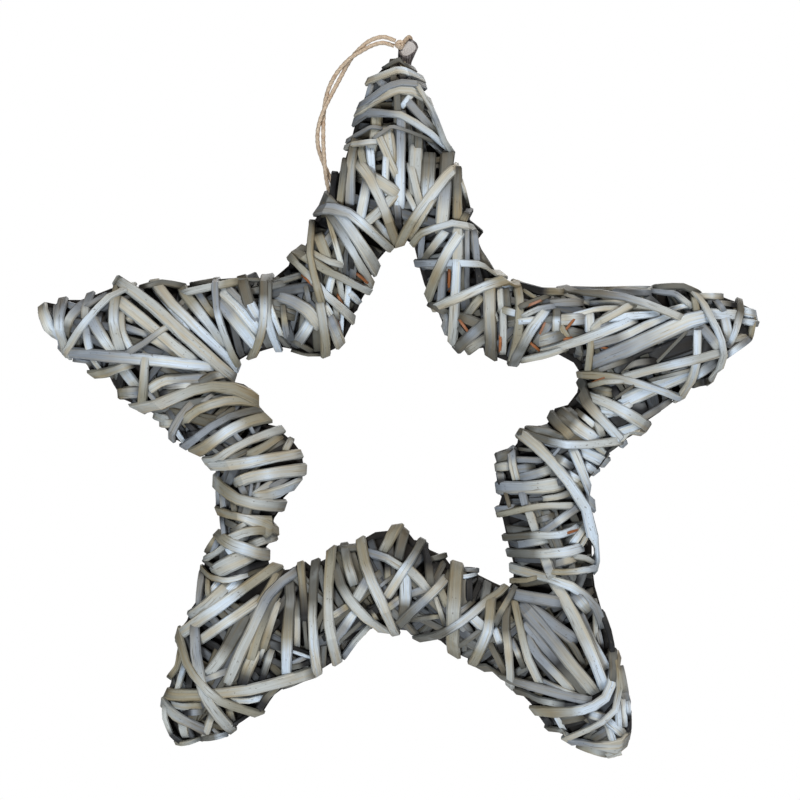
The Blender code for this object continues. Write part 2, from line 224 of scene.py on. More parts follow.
# The edge of its hole, clockwise from the top notch.
INSIDE = (
    (3, 139), (6, 152), (10, 166), (17, 181), (21, 188), (24, 197), (29, 209), (36, 212.5),
    (52, 211), (60, 217), (73, 222), (91, 218.5), (104, 215.5), (114, 221), (118.5, 228),
    (116, 240), (110, 248), (101, 250.5), (97, 259), (95, 262), (81, 263), (75.5, 269.5),
    (74.5, 275), (71.5, 279), (62.5, 283), (60.5, 291), (61.5, 298), (60, 309), (63.5, 313),
    (61.5, 319), (64.5, 329), (68.5, 347), (72, 360), (72, 374.5), (68, 374.5), (60, 371),
    (50, 366), (44, 361), (31, 360), (26, 353), (16, 348.5), (11, 342.5), (5, 341.5), (-3, 331.5),
    (-9, 331), (-13, 335), (-23, 336), (-30, 340), (-38, 345), (-50, 347), (-56, 351), (-58, 355),
    (-67, 359.5), (-70.5, 356.5), (-76.5, 357), (-80, 361.5), (-90.5, 363), (-97.5, 358.5),
    (-98.5, 350), (-90.5, 340), (-92, 329), (-87, 322), (-86, 315.5), (-77.5, 307), (-71.5, 298),
    (-71, 290.5), (-72.5, 282), (-78, 274.5), (-86.5, 267), (-89, 263), (-96, 261.5),
    (-107, 249), (-108, 242), (-111.5, 238), (-120, 233.5), (-120, 221.5), (-111.5, 216.5),
    (-97, 212), (-90, 210), (-80, 212), (-72, 216), (-59.5, 216), (-50, 211.5), (-44, 206),
    (-38, 194), (-37, 187), (-34, 184.5), (-30.5, 176), (-25.5, 168), (-24, 160), (-20, 150),
    (-10, 138.5), (-3, 135.5),
)


@dataclass(frozen=True)
class Winding:
    """How the willow strips lie on the frame."""

    # The bed's cells, how many of them a coarse cell is wide, and the margin round the star.
    cell: float = 0.001
    coarseness: int = 2
    margin: float = 0.012
    # The frame's height as a share of the solid's, and how it rounds off towards the edges.
    frame_share: float = 0.70
    rim: float = 0.009
    rim_height: float = 0.0065
    # The dark inside, a near-black sheet of painted shade: how far in from the edges it starts, and how far
    # under the frame it lies.
    core_inset: float = 0.0024
    core_depth: float = 0.0025
    # The edge rods, and how far in from the edge the outer and the inner strips turn round them.
    rod_radius: float = 0.0030
    rod_inset: float = 0.0044
    inner_inset: float = 0.0076
    # How near to an edge a strip's end goes round it, and how much its two lanes may differ there.
    wrap_reach: float = 0.0065
    lane_reach: float = 0.0150
    lane_fade: float = 0.0150
    most_shift: float = 0.70
    least_squareness: float = 0.65
    # The steps in which a strip is laid, and how much of its width rounds off its corners.
    step: float = 0.001
    least_steps: int = 6
    rounding: float = 0.45
    # A strip's thickness, how much of it is added to what it lies on, and the most that turns pile up.
    thickness: float = 0.0016
    nested: float = 0.75
    most_load: float = 0.0022
    clearance: float = 0.00015
    most_tilt: float = 0.30
    lane_samples: int = 5
    cover_lines: int = 14
    # How a loose end dives under its neighbours, and how far a slat's end runs on out of sight.
    dive: float = 0.0048
    dive_length: float = 0.0070
    dive_share: float = 0.4
    dive_curve: float = 1.6
    run_on: float = 0.0035
    run_on_inside: float = 0.0040
    # How much darker loose ends and the turns at the star's edges are painted: painted shade where ends dive
    # under their neighbours and where turns face away round the edges.
    end_shade: float = 0.55
    end_shade_share: float = 0.3
    turn_shade: float = 0.30
    turn_height: float = 0.0070
    # How a turn's own ends overlap behind, and how much closer its stations stand in a bend.
    tuck: float = 0.0070
    tuck_lift: float = 1.1
    tuck_curve: int = 4
    turn_weight: float = 0.022


WINDING = Winding()

# The angles of a quarter turn round a rod, from its outside to its front.
QUARTER = np.radians(np.arange(0, 90, 15))

# How a strip's width sways along it: by what share, at what pace, and how far its seed shifts that.
SWAYS = ((0.07, 55, 40), (0.04, 140, 90))


def plan_points(points: Iterable[Place]) -> np.ndarray:
    """Places in plan as rows of X and Z in metres."""
    return np.array([(x * MM, -drop * MM) for x, drop in points])


def plan_places(rows: Iterable[np.ndarray]) -> list[Place]:
    """Rows of X and Z in metres as places in plan."""
    return [(x / MM, -z / MM) for x, z in rows]


def cross(first: np.ndarray, second: np.ndarray) -> np.ndarray:
    """The flat cross product of plan directions."""
    return first[..., 0] * second[..., 1] - first[..., 1] * second[..., 0]


def spots_along(rows: np.ndarray) -> np.ndarray:
    """How far along the line through them each of the places in rows is."""
    return np.concatenate([[0.0], np.cumsum(np.linalg.norm(np.diff(rows, axis=0), axis=1))])


@dataclass(frozen=True)
class Meeting:
    """Where a line meets an edge of the star: how far on, where along the edge, and how squarely."""

    ahead: float
    along: float
    squareness: float
    tangent: np.ndarray
    edge: "Edge"

    def squarer(self, heading: np.ndarray) -> np.ndarray:
        """Turns a heading as far as it needs to meet the edge squarely enough.

        Args:
            heading: the heading in plan.

        Returns:
            The turned heading.
        """
        least = WINDING.least_squareness
        if self.squareness >= least:
            return heading
        along = self.tangent * np.sign(heading @ self.tangent)
        out = heading - along * (heading @ along)
        return out / np.linalg.norm(out) * least + along * math.sqrt(1 - least**2)


class Edge:
    """A closed edge of the star in plan, and how thick the turns round its rod already are."""

    def __init__(self, corners: Sequence[Place]) -> None:
        """Starts with no turns on it.

        Args:
            corners: its corners, clockwise.
        """
        self.start = plan_points(corners)
        self.run = np.roll(self.start, -1, axis=0) - self.start
        self.length = np.linalg.norm(self.run, axis=1)
        self.along = np.concatenate([[0.0], np.cumsum(self.length)])
        self.load = np.zeros(int(self.along[-1] / WINDING.cell) + 2)

    def meetings(self, place: np.ndarray, heading: np.ndarray) -> list[Meeting]:
        """Finds where a line meets this edge.

        Args:
            place: a place in plan on the line.
            heading: the line's heading.

        Returns:
            Every meeting, ahead of the place or behind it.
        """
        turn = cross(heading, self.run)
        turn = np.where(np.abs(turn) < TINY, TINY, turn)
        gap = self.start - place
        ahead = cross(gap, self.run) / turn
        share = cross(gap, heading) / turn
        tangents = self.run / self.length[:, None]
        along = self.along[:-1] + share * self.length
        return [
            Meeting(ahead[i], along[i], abs(turn[i]) / self.length[i], tangents[i], self)
            for i in np.nonzero((share >= 0) & (share < 1))[0]
        ]

    def distance(self, places: np.ndarray) -> np.ndarray:
        """Measures how far places are from this edge.

        Args:
            places: plan places in rows.

        Returns:
            A distance for each.
        """
        nearest = np.full(len(places), np.inf)
        for start, run, length in zip(self.start, self.run, self.length):
            gap = places - start
            share = np.clip(gap @ run / length**2, 0, 1)
            nearest = np.minimum(nearest, np.linalg.norm(gap - share[:, None] * run, axis=1))
        return nearest

    def holds(self, places: np.ndarray) -> np.ndarray:
        """Tells which places are inside this edge.

        Args:
            places: plan places in rows.

        Returns:
            True or False for each.
        """
        inside = np.zeros(len(places), bool)
        for start, run in zip(self.start, self.run):
            low, high = sorted((start[1], start[1] + run[1]))
            level = (places[:, 1] > low) & (places[:, 1] <= high)
            if high > low:
                inside ^= level & (start[0] + run[0] * (places[:, 1] - start[1]) / run[1] > places[:, 0])
        return inside

    def load_at(self, along: float) -> float:
        """How thick the turns are there."""
        return float(self.load[int(along / WINDING.cell)])

    def add_load(self, first: float, last: float, load: float) -> None:
        """Raises the turns on a stretch of the rod.

        Args:
            first: where along the edge the stretch begins.
            last: where it ends.
            load: how thick the turns are there at least.
        """
        low, high = sorted((first, last))
        cells = slice(int(low / WINDING.cell), int(high / WINDING.cell) + 1)
        if high - low < self.along[-1] / 2:
            self.load[cells] = np.maximum(self.load[cells], load)


def taut(spots: np.ndarray, heights: np.ndarray) -> np.ndarray:
    """Pulls a strip tight over what lies under it.

    Args:
        spots: how far along it each point is.
        heights: how high it has to be there at least.

    Returns:
        Its height at each spot.
    """
    hull: list[tuple[float, float]] = []
    for point in zip(spots.tolist(), heights.tolist()):
        while len(hull) > 1:
            (ax, ay), (bx, by) = hull[-2], hull[-1]
            if (bx - ax) * (point[1] - ay) < (by - ay) * (point[0] - ax):
                break
            hull.pop()
        hull.append(point)
    corners = np.array(hull)
    return np.interp(spots, corners[:, 0], corners[:, 1])


def smoothed(rows: np.ndarray, reach: int) -> np.ndarray:
    """Rounds off a line with a moving average that keeps both its ends.

    Args:
        rows: its places in rows.
        reach: how many rows to each side count.

    Returns:
        As many places.
    """
    if reach < 1 or len(rows) < 3:
        return rows
    steps = np.arange(reach, 0, -1)[:, None]
    before = rows[0] + (rows[0] - rows[1]) * steps
    after = rows[-1] + (rows[-1] - rows[-2]) * steps[::-1]
    padded = np.concatenate([before, rows, after])
    total = np.cumsum(np.concatenate([np.zeros((1, rows.shape[1])), padded]), axis=0)
    span = 2 * reach + 1
    return (total[span:] - total[:-span]) / span


@dataclass
class Ribbon:
    """The two long edges of a laid strip in space, and how far along its front each station lies.

    Its ends are loose unless it goes all the way round.
    """

    left: np.ndarray
    right: np.ndarray
    share: np.ndarray
    loose: bool = True

    def stations(self, count: int) -> "Ribbon":
        """Chooses stations that stand closer where the ribbon bends.

        Args:
            count: how many stretches there are between them.

        Returns:
            The ribbon at those stations.
        """
        middle = (self.left + self.right) / 2
        steps = np.diff(middle, axis=0)
        lengths = np.linalg.norm(steps, axis=1)
        headings = steps / np.maximum(lengths, TINY)[:, None]
        turns = np.arccos(np.clip((headings[1:] * headings[:-1]).sum(axis=1), -1, 1))
        weights = lengths.copy()
        weights[1:] += turns / 2 * WINDING.turn_weight
        weights[:-1] += turns / 2 * WINDING.turn_weight
        place = np.concatenate([[0.0], np.cumsum(weights)])
        wanted = np.linspace(0, place[-1], count + 1)
        sides = [
            np.stack([np.interp(wanted, place, side[:, axis]) for axis in range(3)], axis=1)
            for side in (self.left, self.right)
        ]
        return Ribbon(*sides, np.interp(wanted, place, self.share))

    def turned_back(self) -> "Ribbon":
        """The same ribbon on the star's back."""
        mirror = np.array((1, -1, 1))
        return Ribbon(self.left[::-1] * mirror, self.right[::-1] * mirror, self.share[::-1])

    def then(self, other: "Ribbon") -> "Ribbon":
        """This ribbon and, after it, another."""
        pairs = zip((self.left, self.right, self.share), (other.left, other.right, other.share))
        return Ribbon(*(np.concatenate(pair) for pair in pairs))

    def part(self, first: int, last: int | None, lift: np.ndarray | float = 0.0) -> "Ribbon":
        """The stations from first up to last, lifted by that much."""
        rows = slice(first, last)
        return Ribbon(self.left[rows] + lift, self.right[rows] + lift, self.share[rows])


class Bed:
    """What lies on the frame so far: heights over the star's plan, and turns round its edge rods."""

    def __init__(self, node: Piece) -> None:
        """Measures the frame in coarse cells, before anything lies on it.

        Args:
            node: the CAD solid that the frame fills.
        """
        low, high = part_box(node.name)
        self.corner = np.array((low.x, low.z)) - WINDING.margin
        size = np.array((high.x - low.x, high.z - low.z)) + 2 * WINDING.margin
        coarse = WINDING.coarseness * WINDING.cell
        columns, rows = (int(side / coarse) + 1 for side in size)
        spots = np.stack(np.meshgrid(np.arange(columns), np.arange(rows), indexing="ij"), axis=-1)
        self.frame_cells = self.corner + (spots + 0.5) * coarse
        self.edges = (Edge(OUTSIDE), Edge(INSIDE))
        self.frame_depth = self.depth(self.frame_cells.reshape(-1, 2)).reshape(columns, rows)
        mesh = node.data
        tree = BVHTree.FromPolygons([v.co for v in mesh.vertices], [p.vertices for p in mesh.polygons])
        heights = np.zeros((columns, rows))
        for cell in np.ndindex(columns, rows):
            x, z = self.frame_cells[cell]
            hit = tree.ray_cast(Vector((x, low.y - 1, z)), Vector((0, 1, 0)))[0]
            if hit is not None:
                heights[cell] = -hit.y * WINDING.frame_share
        fall = np.clip(1 - self.frame_depth / WINDING.rim, 0, 1)
        self.frame_height = np.maximum(heights, WINDING.rim_height * np.sqrt(1 - fall**2))
        self.height = np.kron(self.frame_height, np.ones((WINDING.coarseness, WINDING.coarseness)))

    def depth(self, places: np.ndarray) -> np.ndarray:
        """Measures how far inside the star places are.

        Args:
            places: plan places in rows.

        Returns:
            The distance of each to the nearest edge, or 0 outside the star.
        """
        outside, inside = self.edges
        nearest = np.minimum(outside.distance(places), inside.distance(places))
        return np.where(outside.holds(places) & ~inside.holds(places), nearest, 0.0)

    def cells(self, places: np.ndarray) -> tuple[np.ndarray, ...]:
        """The cells that hold those plan places."""
        found = ((places - self.corner) / WINDING.cell).astype(int)
        return tuple(np.clip(found[..., axis], 0, self.height.shape[axis] - 1) for axis in (0, 1))

    def ground(self, places: np.ndarray) -> np.ndarray:
        """Heights at those plan places."""
        return self.height[self.cells(places)]

    def cover(self, ribbon: Ribbon, thickness: float) -> None:
        """Raises the bed where a ribbon lies.

        Args:
            ribbon: the ribbon.
            thickness: how much higher than the ribbon the bed then is.
        """
        for share in np.linspace(0.0, 1.0, WINDING.cover_lines):
            line = ribbon.left * (1 - share) + ribbon.right * share
            np.maximum.at(self.height, self.cells(line[:, [0, 2]]), -line[:, 1] + thickness)

    def nearest(self, place: np.ndarray, heading: np.ndarray, reach: float) -> Meeting | None:
        """The nearest edge along a line, no further than reach either way."""
        found = [m for edge in self.edges for m in edge.meetings(place, heading) if abs(m.ahead) <= reach]
        return min(found, key=lambda meeting: abs(meeting.ahead), default=None)

    def run_on(self, place: np.ndarray, heading: np.ndarray) -> np.ndarray:
        """Where a strip ends that runs on out of sight, unless that is too near an edge."""
        further = place + heading * WINDING.run_on
        return further if self.depth(further[None])[0] > WINDING.run_on_inside else place

    def chord(self, place: np.ndarray, heading: np.ndarray) -> np.ndarray | None:
        """Finds where a line leaves the star on both sides of a place inside it.

        Args:
            place: the place in plan.
            heading: the line's heading.

        Returns:
            Both places in rows, or None where the place isn't inside.
        """
        found = [m.ahead for edge in self.edges for m in edge.meetings(place, heading)]
        ahead = [a for a in found if a > 0]
        behind = [a for a in found if a < 0]
        if not ahead or not behind:
            return None
        return np.array([place + heading * max(behind), place + heading * min(ahead)])


@dataclass
class End:
    """A strip's end that goes round an edge rod: its heading, and where each lane and its middle begin to."""

    heading: np.ndarray
    places: np.ndarray
    reaches: np.ndarray
    radius: float
    meetings: list[Meeting]

    def turn(self, lane: int, place: np.ndarray, angles: np.ndarray) -> tuple[np.ndarray, ...]:
        """Bends a lane round the rod.

        Args:
            lane: 0 for the left lane and 1 for the right.
            place: the place in plan where the lane reaches the rod.
            angles: the angles of its points on the rod.

        Returns:
            Their places in plan, how far out they are, and their heights.
        """
        out = self.reaches[lane] * np.cos(angles)
        return place + self.heading * out[:, None], out, self.radius * np.sin(angles)


Ends = tuple[End | None, End | None]


class Layer:
    """Lays strips on the bed, one after another."""

    def __init__(self, bed: Bed) -> None:
        """Begins on a bed, with turns as far in from the edges as the outer strips are."""
        self.bed = bed
        self.inset = WINDING.rod_inset

    def wrapped_end(self, place: np.ndarray, heading: np.ndarray, offsets: tuple[float, float]) -> End | None:
        """Finds how a strip's end goes round the edge rod near it.

        Args:
            place: the end in plan.
            heading: its outward heading.
            offsets: how far to the right of that heading each lane lies.

        Returns:
            The end, or None where there is no edge near.
        """
        middle = self.bed.nearest(place, heading, WINDING.wrap_reach)
        if middle is None:
            return None
        heading = middle.squarer(heading)
        middle = self.bed.nearest(place, heading, WINDING.lane_reach) or middle
        across = np.array((heading[1], -heading[0]))
        meetings = []
        for offset in offsets:
            met = self.bed.nearest(place + across * offset, heading, WINDING.lane_reach)
            if met is None or met.edge is not middle.edge:
                met = middle
            meetings.append(met)
        square = np.array([max(m.squareness, WINDING.least_squareness) for m in (*meetings, middle)])
        most = abs(offsets[0] - offsets[1]) * WINDING.most_shift
        ahead = np.array([m.ahead for m in (*meetings, middle)])
        ahead = np.clip(ahead, middle.ahead - most, middle.ahead + most) - self.inset / square
        starts = place + across * np.array((*offsets, 0))[:, None] + heading * ahead[:, None]
        radius = WINDING.rod_radius + max(m.edge.load_at(m.along) for m in (*meetings, middle))
        return End(heading, starts, radius / square, radius, meetings)

    def ends(self, strip: Strip, plan: np.ndarray, width: float) -> Ends:
        """Finds what both ends of a strip do, and moves the ends of its plan there.

        Args:
            strip: the strip.
            plan: its plan in metres.
            width: its width in metres.

        Returns:
            How each end goes round its rod, or None for a loose one.
        """
        found: list[End | None] = []
        for tip, inner, left in ((0, 1, width / 2), (-1, -2, -width / 2)):
            gap = plan[tip] - plan[inner]
            heading = gap / np.linalg.norm(gap)
            end = None
            if strip.lie is Lie.SLAT:
                plan[tip] = self.bed.run_on(plan[tip], heading)
            else:
                end = self.wrapped_end(plan[tip], heading, (left, -left))
            if end:
                plan[tip] = end.places[2]
            found.append(end)
        return tuple(found)

    @staticmethod
    def lanes(plan: np.ndarray, width: float, ends: Ends) -> list[np.ndarray]:
        """Draws the long edges of a strip in plan, at even steps and with rounded corners.

        Args:
            plan: its middle line.
            width: its width.
            ends: how its ends go round their rods.

        Returns:
            The left lane's places and the right one's.
        """
        along = spots_along(plan)
        count = max(WINDING.least_steps, int(along[-1] / WINDING.step))
        spots = np.linspace(0, along[-1], count + 1)
        line = np.stack([np.interp(spots, along, plan[:, axis]) for axis in (0, 1)], axis=1)
        line = smoothed(line, min(int(WINDING.rounding * width / WINDING.step), count // 3))
        heading = np.gradient(line, axis=0)
        heading /= np.linalg.norm(heading, axis=1)[:, None]
        across = np.stack([heading[:, 1], -heading[:, 0]], axis=1)
        fade = np.clip(1 - spots / min(WINDING.lane_fade, along[-1] / 2), 0, 1)[:, None]
        found = []
        for lane, offset in enumerate((-width / 2, width / 2)):
            places = line + across * offset
            for end, tip, nearness in zip(ends, (0, -1), (fade, fade[::-1])):
                if end:
                    places = places + (end.places[lane] - places[tip]) * nearness
            found.append(places)
        return found

    def ground(self, places: np.ndarray, other: np.ndarray) -> np.ndarray:
        """Finds the highest ground between a lane and the strip's middle line.

        Args:
            places: the lane's places in plan.
            other: the other lane's places.

        Returns:
            A height for each of its places.
        """
        shares = np.linspace(0, 1, WINDING.lane_samples)
        lines = [places * (1 - share / 2) + other * share / 2 for share in shares]
        return np.max([self.bed.ground(line) for line in lines], axis=0) + WINDING.clearance

    @staticmethod
    def sunk(spots: np.ndarray, rise: np.ndarray, ends: Ends) -> np.ndarray:
        """Lets the loose ends of a lane dive under what lies round them.

        Args:
            spots: how far along the lane each point is.
            rise: its height there.
            ends: the strip's ends, None for a loose one.

        Returns:
            The lane's heights.
        """
        reach = min(WINDING.dive_length, WINDING.dive_share * (spots[-1] - spots[0]))
        for end, gap in zip(ends, (spots - spots[0], spots[-1] - spots)):
            if end is None:
                rise = rise - WINDING.dive * np.clip(1 - gap / reach, 0, 1) ** WINDING.dive_curve
        return rise

    def raised(self, lane: int, lanes: Sequence[np.ndarray], ends: Ends) -> tuple[np.ndarray, np.ndarray]:
        """Takes a lane round the rods at its ends, and pulls it tight over what lies under it.

        Args:
            lane: 0 for the left lane and 1 for the right.
            lanes: the places of both in plan.
            ends: how the strip's ends go round their rods.

        Returns:
            The lane's places in plan and its heights.
        """
        first, last = ends
        places = lanes[lane]
        rise = self.ground(places, lanes[1 - lane])
        spots = spots_along(places)
        if first:
            rise[0] = max(rise[0], first.radius)
            arc, out, up = first.turn(lane, places[0], QUARTER)
            pairs = ((arc, places), (-out, spots), (up, rise))
            places, spots, rise = (np.concatenate(pair) for pair in pairs)
        if last:
            rise[-1] = max(rise[-1], last.radius)
            arc, out, up = last.turn(lane, places[-1], QUARTER[::-1])
            pairs = ((places, arc), (spots, spots[-1] + out), (rise, up))
            places, spots, rise = (np.concatenate(pair) for pair in pairs)
        return places, self.sunk(spots, taut(spots, rise), ends)

    def front(self, strip: Strip, width: float) -> tuple[Ribbon, Ends]:
        """Lays the front run of a strip, from its first end to its last.

        Args:
            strip: the strip.
            width: its width in metres.

        Returns:
            The ribbon, and how each end goes round its rod.
        """
        plan = plan_points(strip.plan)
        ends = self.ends(strip, plan, width)
        lanes = self.lanes(plan, width, ends)
        (left, left_rise), (right, right_rise) = (self.raised(lane, lanes, ends) for lane in (0, 1))
        most = WINDING.most_tilt * width
        left_least, right_least = right_rise - most, left_rise - most
        left_rise = np.maximum(left_rise, left_least)
        right_rise = np.maximum(right_rise, right_least)
        for end, tip in zip(ends, (0, -1)):
            if end:
                left_rise[tip] = right_rise[tip] = 0.0
        ribbon = Ribbon(
            np.stack([left[:, 0], -left_rise, left[:, 1]], axis=1),
            np.stack([right[:, 0], -right_rise, right[:, 1]], axis=1),
            np.linspace(0, 1, len(left)),
        )
        return ribbon, ends

    def lay(self, strip: Strip, thickness: float) -> list[Ribbon]:
        """Lays a strip on the front, and the same on the back.

        Args:
            strip: the strip.
            thickness: its thickness.

        Returns:
            One ribbon for a strip that goes round an edge, or one for each face.
        """
        ribbon, (first, last) = self.front(strip, strip.width * MM)
        self.bed.cover(ribbon, thickness * WINDING.nested)
        for end in (first, last):
            if end:
                load = end.radius - WINDING.rod_radius
                added = thickness * (1 - load / WINDING.most_load) * WINDING.nested
                a, b = end.meetings
                a.edge.add_load(a.along, b.along, load + added)
        back = ribbon.turned_back()
        if first is None and last is None:
            return [ribbon, back]
        if first and last:
            half = len(back.left) // 2
            tuck = half + int(WINDING.tuck / WINDING.step)
            rise = np.linspace(0, 1, tuck)[:, None] ** WINDING.tuck_curve
            lift = rise * np.array((0, thickness * WINDING.tuck_lift, 0))
            whole = back.part(half, -1).then(ribbon).then(back.part(1, tuck + 1, lift))
            whole.loose = False
            return [whole]
        if last:
            return [ribbon.then(back.part(1, None))]
        return [back.part(0, -1).then(ribbon)]


def select_only(*pieces: Piece) -> None:
    """Selects objects alone and makes the last one active.

    Args:
        pieces: the objects.
    """
    for other in bpy.context.view_layer.objects:
        other.select_set(False)
    for piece in pieces:
        piece.select_set(True)
        bpy.context.view_layer.objects.active = piece


Part = bmesh.types.BMVert | bmesh.types.BMEdge | bmesh.types.BMFace


def select_parts(piece: Piece, kind: str, wanted: Callable[[Part], bool]) -> None:
    """Selects those vertices, edges or faces of the mesh in edit mode that a test picks.

    Args:
        piece: the object in edit mode.
        kind: "verts", "edges" or "faces".
        wanted: a test that takes one of them.
    """
    modes = ("verts", "edges", "faces")
    bpy.context.tool_settings.mesh_select_mode = tuple(mode == kind for mode in modes)
    bpy.ops.mesh.select_all(action="DESELECT")
    mesh = bmesh.from_edit_mesh(piece.data)
    for part in getattr(mesh, kind):
        part.select_set(bool(wanted(part)))
    mesh.select_flush_mode()
    bmesh.update_edit_mesh(piece.data)


def placed(name: str, data: bpy.types.ID) -> Piece:
    """Adds an object to the scene.

    Args:
        name: its name.
        data: its mesh, curve, camera or light.

    Returns:
        The object, at the origin.
    """
    made = bpy.data.objects.new(name, data)
    bpy.context.scene.collection.objects.link(made)
    return made


class Blank:
    """A straight strip one unit long, wide and thick, which every laid strip is a bent copy of."""

    def __init__(self, name: str, segments: int, top: float) -> None:
        """Models the strip with its long axis on X, its width on Y and its outside up.

        Args:
            name: the mesh's name.
            segments: how many quads it is long.
            top: how wide the outside's flat is, as a share of the width.
        """
        self.segments = segments
        bpy.ops.mesh.primitive_cube_add(size=1)
        piece = bpy.context.object
        select_only(piece)
        bpy.ops.object.mode_set(mode="EDIT")
        select_parts(piece, "edges", lambda e: abs(e.verts[0].co.x - e.verts[1].co.x) > 0.5)
        bpy.ops.mesh.subdivide(number_cuts=segments - 1)
        select_parts(piece, "verts", lambda v: v.co.z > 0)
        bpy.ops.transform.resize(value=(1, top, 1))
        bpy.ops.object.mode_set(mode="OBJECT")
        self.mesh = piece.data
        self.mesh.name = name
        places = np.zeros(len(self.mesh.vertices) * 3)
        self.mesh.vertices.foreach_get("co", places)
        along, side, rise = places.reshape(-1, 3).T + 0.5
        self.station = np.rint(along * segments).astype(int)
        self.side = side
        self.rise = rise
        self.corners = np.zeros(len(self.mesh.loops), int)
        self.mesh.loops.foreach_get("vertex_index", self.corners)
        bpy.data.objects.remove(piece)

    def bent(self, strip: Strip, ribbon: Ribbon, thickness: float, level: float, seed: float) -> Piece:
        """Lays a copy of the blank along a ribbon.

        Args:
            strip: the strip that it becomes.
            ribbon: its long edges.
            thickness: its thickness.
            level: how light its colour is, with painted shade for the inner winding in it.
            seed: a number of its own, for its grain.

        Returns:
            The new object.
        """
        laid = ribbon.stations(self.segments)
        middle = (laid.left + laid.right) / 2
        across = laid.right - laid.left
        spots = spots_along(middle)
        sway = sum((share * np.sin(spots * pace + seed * shift) for share, pace, shift in SWAYS), start=1)
        outward = np.cross(across, np.gradient(middle, axis=0))
        outward /= np.maximum(np.linalg.norm(outward, axis=1), TINY)[:, None]
        at = self.station
        side = (self.side - 0.5)[:, None] * sway[at][:, None]
        places = middle[at] + across[at] * side + outward[at] * (self.rise * thickness)[:, None]
        mesh = self.mesh.copy()
        mesh.vertices.foreach_set("co", places.astype(np.float32).ravel())
        colour = np.ones((len(at), 4))
        # Its tone times painted shade: darker at loose ends, at the star's edges and on the inner winding.
        colour[:, :3] = (strip.shades(laid.share) * self.shade(ribbon, spots, middle, level)[:, None])[at]
        for name, kind, key, values in (
            ("tone", "FLOAT_COLOR", "color", colour),
            ("seed", "FLOAT", "value", np.full(len(at), seed)),
            ("side", "FLOAT", "value", self.side * 2 - 1),
        ):
            layer = mesh.attributes.new(name, kind, "POINT")
            layer.data.foreach_set(key, values.astype(np.float32).ravel())
        while mesh.uv_layers:
            mesh.uv_layers.remove(mesh.uv_layers[0])
        flat = np.stack([spots[at], (self.side - 0.5) * np.linalg.norm(across, axis=1)[at]], axis=1)
        layer = mesh.uv_layers.new(name="strip")
        layer.data.foreach_set("uv", flat[self.corners].astype(np.float32).ravel())
        mesh.update()
        return placed("strip", mesh)

    @staticmethod
    def shade(ribbon: Ribbon, spots: np.ndarray, middle: np.ndarray, level: float) -> np.ndarray:
        """Works out the painted shade along a strip: darker at loose ends, where they dive under their
        neighbours, and at the star's edges, where it turns away round them.

        Args:
            ribbon: the strip's ribbon.
            spots: how far along it each station is.
            middle: where each station is in space.
            level: how light it is elsewhere, with painted shade for the inner winding in it.

        Returns:
            A factor for each station.
        """
        shade = np.full(len(spots), level)
        if ribbon.loose:
            gap = np.minimum(spots, spots[-1] - spots)
            reach = min(WINDING.dive_length, WINDING.end_shade_share * spots[-1])
            shade *= 1 - WINDING.end_shade * np.clip(1 - gap / reach, 0, 1)
        shade *= 1 - WINDING.turn_shade * np.clip(1 - np.abs(middle[:, 1]) / WINDING.turn_height, 0, 1)
        return shade


class Wire:
    """One socket of a node, which adds Math nodes where it stands in a sum."""

    def __init__(self, graph: "Graph", socket: bpy.types.NodeSocket) -> None:
        """Wraps a socket of a node in that graph."""
        self.graph = graph
        self.socket = socket

    def _math(self, operation: str, *values: "Wire | float") -> "Wire":
        """The result of a Math node."""
        return self.graph.node("ShaderNodeMath", {"operation": operation}, dict(enumerate(values)))

    def __add__(self, other: "Wire | float") -> "Wire":
        """This value and another."""
        return self._math("ADD", self, other)

    __radd__ = __add__

    def __rsub__(self, other: "Wire | float") -> "Wire":
        """Another value less this one."""
        return self._math("SUBTRACT", other, self)

    def __mul__(self, other: "Wire | float") -> "Wire":
        """This value times another."""
        return self._math("MULTIPLY", self, other)

    __rmul__ = __mul__

    def __gt__(self, other: "Wire | float") -> "Wire":
        """1 where this value is the greater, or else 0."""
        return self._math("GREATER_THAN", self, other)

    def eased(self, low: float, high: float) -> "Wire":
        """0 up to low, 1 from high, and a smooth step between them."""
        settings = {"interpolation_type": "SMOOTHSTEP"}
        return self.graph.node("ShaderNodeMapRange", settings, {0: self, 1: low, 2: high})


# What a socket can be given.
Value = Wire | float | tuple[float, ...]


